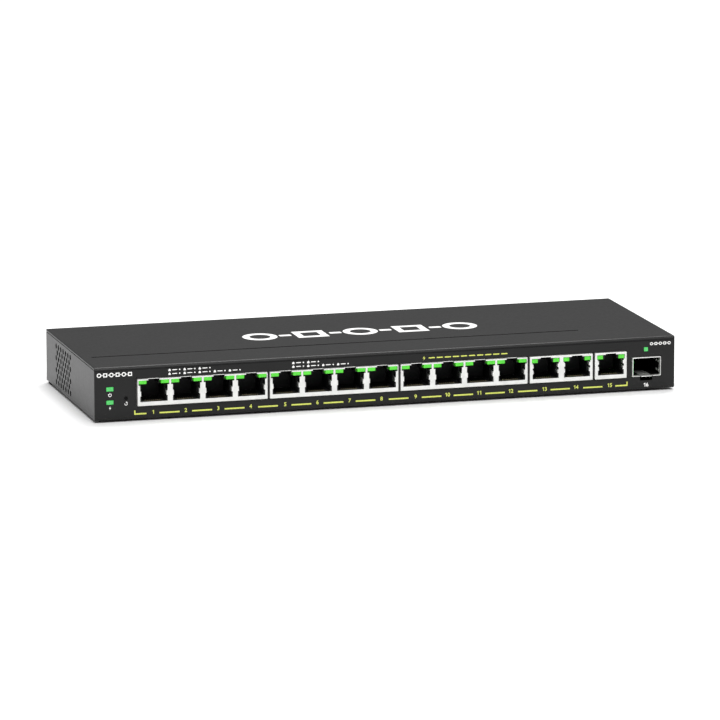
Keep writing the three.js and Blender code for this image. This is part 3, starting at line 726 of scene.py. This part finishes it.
def port_window(x, style):
    """The outline of a port in the shield: the plug's opening, the lights' zone and the latch's notch."""
    half = [
        (style["cavity_half"], style["cavity_bottom"]),
        (style["cavity_half"], style["ledge"]),
        (style["zone_half"], style["ledge"]),
        (style["zone_half"], style["zone_top"]),
        (style["notch_half"], style["zone_top"]),
        (style["notch_half"], style["notch_top"]),
    ]
    right = [(x + u, face_z(z)) for u, z in half]
    left = [(x - u, face_z(z)) for u, z in reversed(half)]
    return right + left


def ground_tab(x, side, front, style, zs):
    """A spring tab that bows into the port from the edge of its window."""
    edge = style["cavity_half"]
    inner = [(0.1, 0), (-0.35, 0), (-0.5, 0.15), (-0.55, 1.1), (-0.2, 3.0), (0, 4.0)]
    outer = [(0.22, 4.0), (0.02, 3.0), (-0.3, 1.1), (-0.3, 0.3), (0.1, 0.28)]
    outline = [(x + side * (edge + u), front + y) for u, y in inner + outer]
    return prism(outline, "z", (face_z(zs[0]), face_z(zs[1])))


def shield(name):
    """A jack block's plated shell, with a window and ground tabs for each port."""
    style = STYLES[name]
    xs, ys, zs = cad_range(f"jack_shield_{name}")
    front, back = ys
    open_notches = face_z(style["notch_top"]) > zs[1]

    def bend(x, y, z):
        return 0 if open_notches and y < 0 < z else 0.3

    piece = folded(xs, ys, zs, bend)
    inside = block((xs[0] + SHELL, xs[1] - SHELL), (front + SHELL, back - SHELL), (zs[0] - 1, zs[1] - SHELL))
    combine(piece, inside, "DIFFERENCE")
    middles = port_middles(name)
    cut(piece, [prism(port_window(x, style), "y", (front - 1, front + SHELL + 0.1)) for x in middles])
    if open_notches:
        notch_zs = (face_z(style["zone_top"]) - 0.5, zs[1] + 1)
        notch_ys = (front - 2, FRONT - 0.2)
        cut(piece, [block(about(x, style["notch_half"]), notch_ys, notch_zs) for x in middles])
    soften(piece, 0.06)
    tabs = []
    for x in middles:
        for side in (-1, 1):
            tabs += [ground_tab(x, side, front, style, tab_zs) for tab_zs in style["tabs"]]
    piece = join([settle(piece), soften(join(tabs), 0.05)])
    return place(smooth(piece), f"plated_shell_{name}", PLATE, "plated_steel", [f"jack_shield_{name}"])


def housing(name):
    """The black moulding behind a shield: plug sockets, latch slots, light channels and tab reliefs."""
    style = STYLES[name]
    xs, ys, zs = cad_range(f"jack_housing_{name}")
    front, back = ys
    middles = port_middles(name)
    above = zs[1] + 1
    floor_z = face_z(style["cavity_bottom"])
    open_lights = style["light_forward"] == 0
    sockets = []
    channels = []
    pockets = []
    reliefs = []
    for x in middles:
        half = [
            (PLUG["half"], floor_z), (PLUG["half"], face_z(PLUG["top"])),
            (PLUG["slot_half"], face_z(PLUG["top"])), (PLUG["slot_half"], above + 1),
        ]
        outline = [(x + u, v) for u, v in half] + [(x - u, v) for u, v in reversed(half)]
        sockets.append(prism(outline, "y", (front - 1, front + PLUG["depth"])))
        for side in (-1, 1):
            outer = x + side * (style["light_outer"] + 0.3)
            channel = sorted((x + side * (style["light_inner"] - 0.1), outer))
            channel_zs = (face_z(style["light_bottom"]) - 0.1, above)
            channels.append(block(channel, (front - 1, back + 1), channel_zs))
            if open_lights:
                pocket = sorted((x + side * (PLUG["slot_half"] - 0.2), outer))
                pockets.append(block(pocket, (front - 2, front + 2.8), (face_z(PLUG["top"]) - 0.35, above)))
            relief = sorted((x + side * (PLUG["half"] - 0.3), x + side * (style["cavity_half"] + 0.35)))
            reliefs.append(block(relief, (front - 2, front + 4.2), (face_z(10.3), face_z(15.5))))
    bar_slot = block((xs[0] - 1, xs[1] + 1), (front + 1.9, front + 3.8), (face_z(6.9), floor_z))
    piece = cut(block(xs, ys, zs), sockets, channels, reliefs, [bar_slot])
    if open_lights:
        cut(piece, pockets)
    soften(piece, 0.08, 1)
    return place(piece, f"moulded_sockets_{name}", MOULDING, "black_moulding", [f"jack_housing_{name}"])


def contact_wire(x, front, low, high, width):
    """One sprung contact: it loops up out of the moulding near the mouth and rises towards the back."""
    radius = 0.55
    thickness = 0.34
    reach = 6.6
    bend = (front + 0.75, low + 1.55 - radius)
    rise = math.degrees(math.atan2(high - thickness - bend[1] - radius, reach))
    outer = [(bend[0] - radius, low + 0.3)] + arc(bend, radius, 180, 90 + rise, 8)
    outer += [(bend[0] + reach, high - 0.15), (bend[0] + reach + 0.4, high - 0.35)]
    inner_radius = radius - thickness
    inner = [(bend[0] - inner_radius, low + 0.3)] + arc(bend, inner_radius, 180, 90 + rise, 8)
    inner += [(bend[0] + reach, high - 0.15 - thickness), (bend[0] + reach + 0.3, high - 0.3 - thickness)]
    return prism(outer + list(reversed(inner)), "x", about(x, width / 2))


def contacts(name):
    """A jack block's contact wires, eight to a port, on the bar that holds them."""
    xs, ys, zs = cad_range(f"jack_contacts_{name}")
    bar = block(xs, (ys[0], ys[0] + 1.7), (zs[0], zs[0] + 1.1))
    wires = []
    for x in port_middles(name):
        for i in range(WIRES):
            wire_x = x + (i - (WIRES - 1) / 2) * WIRE_PITCH
            wires.append(contact_wire(wire_x, ys[0], zs[0], zs[1], WIRE_WIDTH))
    piece = join([soften(bar, 0.1), soften(join(wires), 0.06)])
    return place(smooth(piece), f"contact_wires_{name}", GOLD_PAINTED_SHADE, "contact_gold", [f"jack_contacts_{name}"])


def port_lights(name):
    """A jack block's light pipes: a lens at each upper corner of a port, on a bar behind the moulding."""
    style = STYLES[name]
    xs, ys, zs = cad_range(f"jack_lights_{name}")
    parts = [block(xs, (ys[1] - 1.9, ys[1]), zs)]
    for x in port_middles(name):
        for side in (-1, 1):
            inner = x + side * style["light_inner"]
            outer = x + side * style["light_outer"]
            tip = ys[0] - style["light_forward"]
            root = ys[1] - 1.8
            lens = [(inner, root), (inner, tip + 0.1), (inner + side * 0.1, tip)]
            lens += [(outer, tip), (outer, root)]
            parts.append(prism(lens, "z", zs))
    piece = soften(join(parts), 0.12)
    return place(piece, f"light_pipes_{name}", PORT_GREEN, "port_light", [f"jack_lights_{name}"])


# ---------------------------------------------------------------- SFP port


def sfp_cage():
    """The SFP cage: a folded shell with ground tabs on its inner walls and a slotted floor for the latch."""
    xs, ys, zs = cad_range("sfp_cage")
    front, back = ys
    middle = sum(xs) / 2
    wall = 0.4
    piece = folded(xs, ys, zs, lambda x, y, z: 0.35)
    latch_xs, latch_ys, _ = cad_range("sfp_latch")
    connector_xs, connector_ys, _ = cad_range("sfp_connector")
    floor_zs = (zs[0] - 1, zs[0] + wall + 0.1)
    latch_slot = ((latch_xs[0] - 0.4, latch_xs[1] + 0.4), (front - 2, latch_ys[1] + 0.3))
    connector_slot_xs = (connector_xs[0] - 0.4, connector_xs[1] + 0.4)
    connector_slot_ys = (connector_ys[0] - 2, back - wall - 0.1)
    cut(
        piece,
        [block((xs[0] + wall, xs[1] - wall), (front - 1, back - wall), (zs[0] + wall, zs[1] - wall))],
        [block(*latch_slot, floor_zs), block(connector_slot_xs, connector_slot_ys, floor_zs)],
    )
    soften(piece, 0.08)
    tabs = []
    for side in (-1, 1):
        wall_x = middle + side * ((xs[1] - xs[0]) / 2 - wall)
        for z in (zs[0] + 2.3, zs[0] + 6.6):
            for y in (front + 2.6, front + 5.4):
                bow = [(0, -0.9), (0.35, 0), (0.3, 0.5), (0, 0.6)]
                outline = [(wall_x - side * reach, y + along) for reach, along in bow]
                tabs.append(prism(outline, "z", about(z, 0.6)))
    place(soften(join(tabs), 0.05), "sfp_cage_tabs", PLATE, "plated_steel")
    return place(piece, "sfp_cage_shell", CAGE_PLATE_PAINTED_SHADE, "plated_steel", ["sfp_cage"])


def sfp_latch():
    """The sprung tongue with its triangular catch and turned-down lip."""
    xs, ys, zs = cad_range("sfp_latch")
    middle = sum(xs) / 2
    tip, root = ys
    thickness = 0.3
    sheet = zs[1] - thickness
    radius = 0.35
    lip = zs[1] - 0.35
    profile = [(tip, lip), (tip + thickness, lip)]
    profile += [(tip + thickness, sheet - 0.05), (tip + thickness + 0.05, sheet)]
    profile += [(root, sheet), (root, zs[1])]
    profile += arc((tip + radius, zs[1] - radius), radius, 90, 180)
    piece = prism(profile, "x", xs)
    catch = [(middle - 1.5, tip + 3.2), (middle + 1.5, tip + 3.2), (middle, tip + 6)]
    cut(piece, [prism(catch, "z", (sheet - 1, zs[1] + 1))])
    return place(soften(piece, 0.05), "sfp_latch_tongue", PLATE, "plated_steel", ["sfp_latch"], "sfp_latch")


def sfp_connector():
    """The SFP board connector: a slotted moulding with ribs between its contacts."""
    xs, ys, zs = cad_range("sfp_connector")
    middle_z = sum(zs) / 2
    slots = []
    for i in range(10):
        x = sum(xs) / 2 + (i - 4.5) * 0.8
        slots.append(block(about(x, 0.2), (ys[0] - 2, ys[0] + 3), about(middle_z, 1.35)))
    mouth = block((xs[0] + 0.8, xs[1] - 0.8), (ys[0] - 1, ys[1] - 2), about(middle_z, 0.7))
    piece = cut(block(xs, ys, zs), [mouth], slots)
    return place(soften(piece, 0.06, 1), "sfp_edge_connector", MOULDING, "black_moulding", ["sfp_connector"])


# ---------------------------------------------------------------- indicators, reset and power inlet

LENSES = {
    "power_light_pipe": (3.4, 2.0),
    "poe_light_pipe": (3.4, 2.0),
    "sfp_light_pipe": (2.0, 2.0),
}


def lens_window(node):
    """Where a light pipe's face shows in the front panel: its x and z ranges."""
    width, height = LENSES[node]
    xs, _, zs = cad_range(node)
    return (xs[1] - width, xs[1]), (zs[1] - height, zs[1])


def panel_light(node):
    """A panel light pipe: a lens with a soft edge, a straight run and a leg down to its LED."""
    xs, ys, zs = cad_range(node)
    lens_xs, lens_zs = lens_window(node)
    leg = 2.0
    parts = [
        prism(rounded_rectangle(lens_xs, lens_zs, 0.25, 4), "y", (ys[0], ys[1] - 0.01)),
        block((xs[0], min(xs[0] + 4, xs[1])), (ys[1] - leg, ys[1]), (zs[0], zs[1] - 0.01)),
    ]
    if xs[0] < lens_xs[0]:
        arm_xs = (xs[0] + 0.01, lens_xs[1] - 0.01)
        parts.append(block(arm_xs, (ys[1] - leg + 0.01, ys[1] - 0.01), (lens_zs[0], zs[1] - 0.02)))
    piece = soften(join(parts), 0.12)
    return place(piece, f"{node}_lens", PANEL_GREEN, "panel_light", [node])


def reset_plunger():
    """The plunger behind the reset hole, with a dimple for a pin."""
    xs, ys, zs = cad_range("reset_plunger")
    radius = (xs[1] - xs[0]) / 2
    length = ys[1] - ys[0]
    profile = [(0, 0.25), (0.45, 0.2), (0.7, 0), (radius - 0.25, 0)]
    profile += [(radius - 0.25 + x, z) for x, z in arc((0, 0.25), 0.25, -60, 0, 4)]
    profile += [(radius, length), (0, length)]
    piece = lathe(profile, (sum(xs) / 2, ys[0], sum(zs) / 2), "y", 32)
    smooth(piece, 40)
    node = "reset_plunger"
    return place(piece, "reset_button_plunger", MOULDING, "black_moulding", [node], node)


def inlet_body():
    """The barrel inlet: a square moulding behind the panel and a round nose with a chamfered bore."""
    xs, ys, zs = cad_range("inlet_body")
    pin_xs, _, pin_zs = cad_range("inlet_pin")
    x = sum(pin_xs) / 2
    z = sum(pin_zs) / 2
    mouth = ys[1]
    wall = BACK - SHEET - 0.3
    nose = 4.3
    bore = 3.2
    depth = 12.0
    piece = block(xs, (ys[0], wall), zs)
    root = wall - 1 - mouth
    profile = [(0, root), (nose, root), (nose, -0.4), (nose - 0.15, -0.15), (nose - 0.4, 0), (0, 0)]
    combine(piece, lathe(profile, (x, mouth, z), "y", 48), "UNION")
    hole = [(0, -depth), (bore, -depth), (bore, -0.45), (bore + 0.45, 0.01), (bore + 0.45, 1), (0, 1)]
    combine(piece, lathe(hole, (x, mouth, z), "y", 48), "DIFFERENCE")
    cut(
        piece,
        [prism(circle((x, z), 1.35, 24), "y", (ys[0] - 1, mouth - depth + 1))],
        [block(about(x, 1.8), (mouth - depth + 0.3, wall - 0.6), (z - bore - 1.2, z - 1.5))],
    )
    return place(soften(piece, 0.05), "power_inlet_body", MOULDING, "black_moulding", ["inlet_body"])


def inlet_pin():
    """The inlet's centre pin, split by a slot at its round tip."""
    xs, ys, zs = cad_range("inlet_pin")
    x = sum(xs) / 2
    z = sum(zs) / 2
    flange = (xs[1] - xs[0]) / 2
    radius = 1.25
    length = ys[1] - ys[0]
    profile = [(0, 0), (flange, 0), (flange, 0.7), (radius, 0.7)]
    profile += [(radius - 0.6 + u, v) for u, v in arc((0, length - 0.6), 0.6, 0, 90)]
    profile += [(0, length)]
    piece = lathe(profile, (x, ys[0], z), "y", 32)
    cut(piece, [block(about(x, 0.2), (ys[1] - 5, ys[1] + 1), about(z, radius + 1))])
    return place(smooth(piece, 40), "power_inlet_pin", PLATE, "plated_steel", ["inlet_pin"])


def inlet_leaf():
    """The bowed leaf that presses on a plug's sleeve."""
    xs, ys, zs = cad_range("inlet_spring")
    thickness = 0.3
    low = zs[0]
    bow = zs[1] - thickness
    tip = low + (bow - low) * 0.35
    steps = 12
    lower = []
    for i in range(steps + 1):
        share = i / steps
        height = low + (tip - low) * share + (bow - low) * 0.75 * math.sin(math.pi * share)
        lower.append((ys[0] + (ys[1] - ys[0]) * share, min(height, bow)))
    upper = [(y, z + thickness) for y, z in reversed(lower)]
    piece = prism(lower + upper, "x", xs)
    node = "inlet_spring"
    return place(soften(piece, 0.04), "power_inlet_leaf", PLATE, "plated_steel", [node], node)


# ---------------------------------------------------------------- printed marks


def on_front(outline):
    """A printed shape on the front panel, from an outline in face coordinates."""
    return prism([(face_x(u), face_z(v)) for u, v in outline], "y", (FRONT - PRINT, FRONT + 0.02))


def on_top(outline):
    """A printed shape on the lid. Its v runs back from the front edge."""
    return prism([(face_x(u), FRONT + v) for u, v in outline], "z", (TOP - 0.02, TOP + PRINT))


def stroke(start, end, width):
    """A straight line with round ends, as an outline."""
    angle = math.degrees(math.atan2(end[1] - start[1], end[0] - start[0]))
    half = width / 2
    return arc(end, half, angle - 90, angle + 90, 8) + arc(start, half, angle + 90, angle + 270, 8)


def ring(centre, radius, width, start=0, end=360):
    """Part of a ring, as an outline. A whole ring keeps a hair's gap where it would close."""
    if end - start >= 360:
        end = start + 359.5
    outer = arc(centre, radius, start, end, 24)
    inner = arc(centre, radius - width, end, start, 24)
    return outer + inner


def bolt(centre, height):
    """A lightning bolt."""
    u, v = centre
    points = [(0.1, 0.5), (-0.3, -0.06), (-0.02, -0.06), (-0.1, -0.5), (0.3, 0.08), (0.02, 0.08)]
    return [(u + a * height, v + b * height) for a, b in points]


def plug_icon(centre, height):
    """A network plug seen from its front: a body with a step for its latch."""
    u, v = centre
    right = [(0.5, -0.5), (0.5, 0.2), (0.2, 0.2), (0.2, 0.5)]
    left = [(-a, b) for a, b in reversed(right)]
    return [(u + a * height, v + b * height) for a, b in right + left]


def chain(start, length, height, nodes):
    """A generic network mark: open nodes in a line, every other one square, with bars between them."""
    u, v = start
    step = (length - height) / (nodes - 1)
    radius = height / 2
    line = height * 0.2
    gap = height * 0.06
    outlines = []
    for i in range(nodes):
        centre = (u + radius + i * step, v + radius)
        if i % 2:
            outlines += square_ring(centre, radius * 0.9, line)
        else:
            outlines.append(ring(centre, radius, line))
        if i:
            bar = (centre[0] - step + radius + gap, centre[0] - radius - gap)
            outlines.append(rounded_rectangle(bar, about(centre[1], line / 2), line * 0.2, 2))
    return outlines


def square_ring(centre, half, line):
    """A square frame, as two brackets that meet at hair gaps."""
    u, v = centre
    hair = 0.01
    bracket = [
        (hair, -half), (half, -half), (half, half), (hair, half),
        (hair, half - line), (half - line, half - line), (half - line, line - half), (hair, line - half),
    ]
    return [[(u + side * a, v + b) for a, b in bracket] for side in (-1, 1)]


def printed_one(centre, height):
    """A printed 1 with a flag, its foot on a point of the base line."""
    u, v = centre
    points = [(0.0, 0), (0.2, 0), (0.2, 1), (0.03, 1), (-0.24, 0.82), (-0.24, 0.64), (0.0, 0.77)]
    return on_front([(u + a * height, v + b * height) for a, b in points])


def printed_digit(digit, centre, height):
    """A printed digit from the built-in typeface, as a flat solid on the front panel."""
    curve = bpy.data.curves.new("number", "FONT")
    curve.body = digit
    curve.size = height / 0.7
    curve.align_x = "CENTER"
    curve.extrude = (PRINT + 0.02) / 2
    curve.offset = 0.035 * height
    curve.resolution_u = 4
    text = bpy.data.objects.new("number", curve)
    bpy.context.scene.collection.objects.link(text)
    settled = bpy.data.meshes.new_from_object(text.evaluated_get(bpy.context.evaluated_depsgraph_get()))
    bpy.data.objects.remove(text)
    upright = Matrix.Rotation(math.radians(90), 4, "X")
    middle_y = FRONT - PRINT / 2 + 0.01
    settled.transform(Matrix.Translation((face_x(centre[0]), middle_y, face_z(centre[1]))) @ upright)
    piece = bpy.data.objects.new("number", settled)
    bpy.context.scene.collection.objects.link(piece)
    merge_flats(piece)
    return piece


def number(value, centre, height):
    """A printed number with evenly spaced digits, centred over a point on its base line."""
    digits = str(value)
    pieces = []
    for i, digit in enumerate(digits):
        u = centre[0] + (i - (len(digits) - 1) / 2) * DIGIT_ADVANCE * height
        if digit == "1":
            pieces.append(printed_one((u, centre[1]), height))
        else:
            pieces.append(printed_digit(digit, (u, centre[1]), height))
    return join(pieces)


NUMBER_BASE = 2.0
NUMBER_HEIGHT = 1.8
DIGIT_ADVANCE = 0.72  # from one digit to the next, as a share of the height
RULE = (2.0, 2.7)  # the bottom and top of the rule that joins the port numbers
RULE_LENGTH = 9.7
RULE_ENDS = (19.0, 262.25)
RULE_STUBS = (5.9, 6.2)
RULE_TICK = 4.1


def port_numbers():
    """The yellow numbers under the RJ45 ports, and the rule that runs between them."""
    centres = []
    for name in BLOCKS:
        centres += [x - LEFT for x in port_middles(name)]
    pieces = [number(i + 1, (centre, NUMBER_BASE), NUMBER_HEIGHT) for i, centre in enumerate(centres)]
    bars = [about((start + end) / 2, RULE_LENGTH / 2) for start, end in zip(centres, centres[1:])]
    bars += [(RULE_ENDS[0], RULE_ENDS[0] + RULE_STUBS[0]), (RULE_ENDS[1] - RULE_STUBS[1], RULE_ENDS[1])]
    pieces += [on_front(rounded_rectangle(bar, RULE, 0.1, 2)) for bar in bars]
    for u in (RULE_ENDS[0] + 0.3, RULE_ENDS[1] - 0.3):
        pieces.append(on_front(rounded_rectangle(about(u, 0.3), (RULE[1] + 0.02, RULE_TICK), 0.1, 2)))
    return place(join(pieces), "printed_port_numbers", YELLOW_INK, "case_paint")


def power_legend():
    """A small yellow legend over the ports: a bolt and a dashed rule."""
    outlines = [bolt((160.5, 21.2), 2.1)]
    outlines += [stroke((u, 21.2), (u + 2.6, 21.2), 0.55) for u in range(163, 200, 4)]
    piece = join([on_front(outline) for outline in outlines])
    return place(piece, "printed_power_legend", YELLOW_INK, "case_paint")


LEGENDS = [((35.5, 58), 22.5), ((35.5, 72), 20.7), ((95.6, 114), 22.5), ((95.6, 122), 20.7)]


def legend_row(u_range, v, height):
    """A row of small plugs and dashes that fills a stretch of the panel."""
    outlines = []
    u = u_range[0]
    while u < u_range[1] - 4:
        outlines.append(plug_icon((u + 0.7, v), height))
        outlines.append(stroke((u + 2.2, v), (u + 4.2, v), height * 0.35))
        outlines.append(circle((u + 5.6, v), height * 0.3, 14))
        u += 7.3
    return outlines


def white_marks():
    """The white marks on the front: a network mark, legends, and an icon by each indicator."""
    outlines = chain((1.2, 20.6), 17, 2.1, 6)
    outlines += chain((273.4, 21.2), 10.4, 1.5, 5)
    for u_range, v in LEGENDS:
        outlines += legend_row(u_range, v, 1.1)
    power = (7.4, 12.05)
    outlines.append(ring(power, 0.85, 0.26, 125, 415))
    outlines.append(stroke((power[0], power[1] + 0.2), (power[0], power[1] + 0.95), 0.26))
    outlines.append(bolt((7.4, 5.8), 1.8))
    outlines.append(ring((15.1, 7.5), 0.75, 0.22, -200, 80))
    outlines.append([(15.05, 8.6), (15.95, 8.2), (15.15, 7.7)])
    pieces = [on_front(outline) for outline in outlines]
    pieces.append(number(16, (271.5, 1.2), NUMBER_HEIGHT))
    return place(join(pieces), "printed_white_marks", WHITE_INK, "case_paint")


def lid_mark():
    """The large network mark on the lid."""
    outlines = chain((85.5, 44), 117, 17, 5)
    piece = join([on_top(outline) for outline in outlines])
    return place(piece, "printed_lid_mark", WHITE_INK, "case_paint")


# ---------------------------------------------------------------- pieces that keep their CAD shape

KEPT = {
    "main_board": BOARD,
    "heatsink": ALUMINIUM,
    "reset_switch": MOULDING,
    "switch_chip": MOULDING,
    "poe_chip_left": MOULDING,
    "poe_chip_right": MOULDING,
    "power_inductor": MOULDING,
    "bulk_capacitor_1": MOULDING,
    "bulk_capacitor_2": MOULDING,
}
KEPT.update({f"magnetics_{i}": MOULDING for i in (1, 2, 3, 4)})
KEPT.update({f"standoff_{i}": ZINC for i in (1, 2, 3, 4)})
KEPT.update({f"board_screw_{i}": ZINC for i in (1, 2, 3, 4)})


def finish_kept_nodes():
    for node, material in KEPT.items():
        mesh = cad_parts[node].data
        mesh.materials.clear()
        mesh.materials.append(material)


# ---------------------------------------------------------------- stage


def camera():
    """The camera, placed by its angles round the middle of the view."""
    bpy.context.scene.view_settings.view_transform = "Standard"
    back = Vector((
        math.sin(CAMERA_AZIMUTH) * math.cos(CAMERA_ELEVATION),
        -math.cos(CAMERA_AZIMUTH) * math.cos(CAMERA_ELEVATION),
        math.sin(CAMERA_ELEVATION),
    ))
    right = Vector((0, 0, 1)).cross(back).normalized()
    up = back.cross(right)
    turned_right = math.cos(CAMERA_ROLL) * right + math.sin(CAMERA_ROLL) * up
    turned_up = math.cos(CAMERA_ROLL) * up - math.sin(CAMERA_ROLL) * right
    aim = CAMERA_ORIGIN + CAMERA_RIGHT_OF_MIDDLE * turned_right + CAMERA_ABOVE_MIDDLE * turned_up
    lens = bpy.data.cameras.new("camera")
    lens.lens = CAMERA_LENS
    lens.sensor_width = 36
    lens.clip_end = 20
    holder = bpy.data.objects.new("camera", lens)
    turn = Matrix((turned_right, turned_up, back)).transposed()
    holder.matrix_world = Matrix.Translation(aim + CAMERA_DISTANCE * back) @ turn.to_4x4()
    bpy.context.scene.collection.objects.link(holder)
    bpy.context.scene.camera = holder


def lights():
    """A pale room, a broad light high in front and a softbox above and behind that edges the lid."""
    world = bpy.data.worlds.new("studio")
    world.use_nodes = True
    world.node_tree.nodes["Background"].inputs["Color"].default_value = (1, 1, 1, 1)
    world.node_tree.nodes["Background"].inputs["Strength"].default_value = 0.3
    bpy.context.scene.world = world
    broad = bpy.data.lights.new("broad_light", "SUN")
    broad.energy = 2.4
    broad.angle = math.radians(40)
    holder = bpy.data.objects.new("broad_light", broad)
    holder.rotation_euler = (math.radians(40), math.radians(-6), 0)
    bpy.context.scene.collection.objects.link(holder)
    softbox = bpy.data.lights.new("softbox", "AREA")
    softbox.energy = 14
    softbox.size = 0.8
    holder = bpy.data.objects.new("softbox", softbox)
    holder.location = (0.25, 0.5, 1.3)
    holder.rotation_euler = (-holder.location).to_track_quat("-Z", "Y").to_euler()
    bpy.context.scene.collection.objects.link(holder)


def floor():
    """A pale floor whose far parts fade into the white room."""
    ground = prism(circle((0, 0), 4000, 96), "z", (-2, 0))
    finish = Finish("floor")
    finish.tint(finish.noise(400), srgb(250, 250, 250), srgb(253, 253, 253))
    finish.set(Roughness=0.9)
    to_metres(ground)
    ground.name = "floor"
    ground.data.materials.append(finish.material)


# ---------------------------------------------------------------- the whole object

camera()
tray()
lid()
for side in ("left", "right"):
    foot(f"foot_front_{side}")
    foot(f"foot_rear_{side}")
for screw in COVER_SCREWS:
    cover_screw(screw)
for block_name in BLOCKS:
    shield(block_name)
    housing(block_name)
    contacts(block_name)
    port_lights(block_name)
sfp_cage()
sfp_latch()
sfp_connector()
for lens_node in LENSES:
    panel_light(lens_node)
reset_plunger()
inlet_body()
inlet_pin()
inlet_leaf()
port_numbers()
power_legend()
white_marks()
lid_mark()
finish_kept_nodes()
floor()
lights()
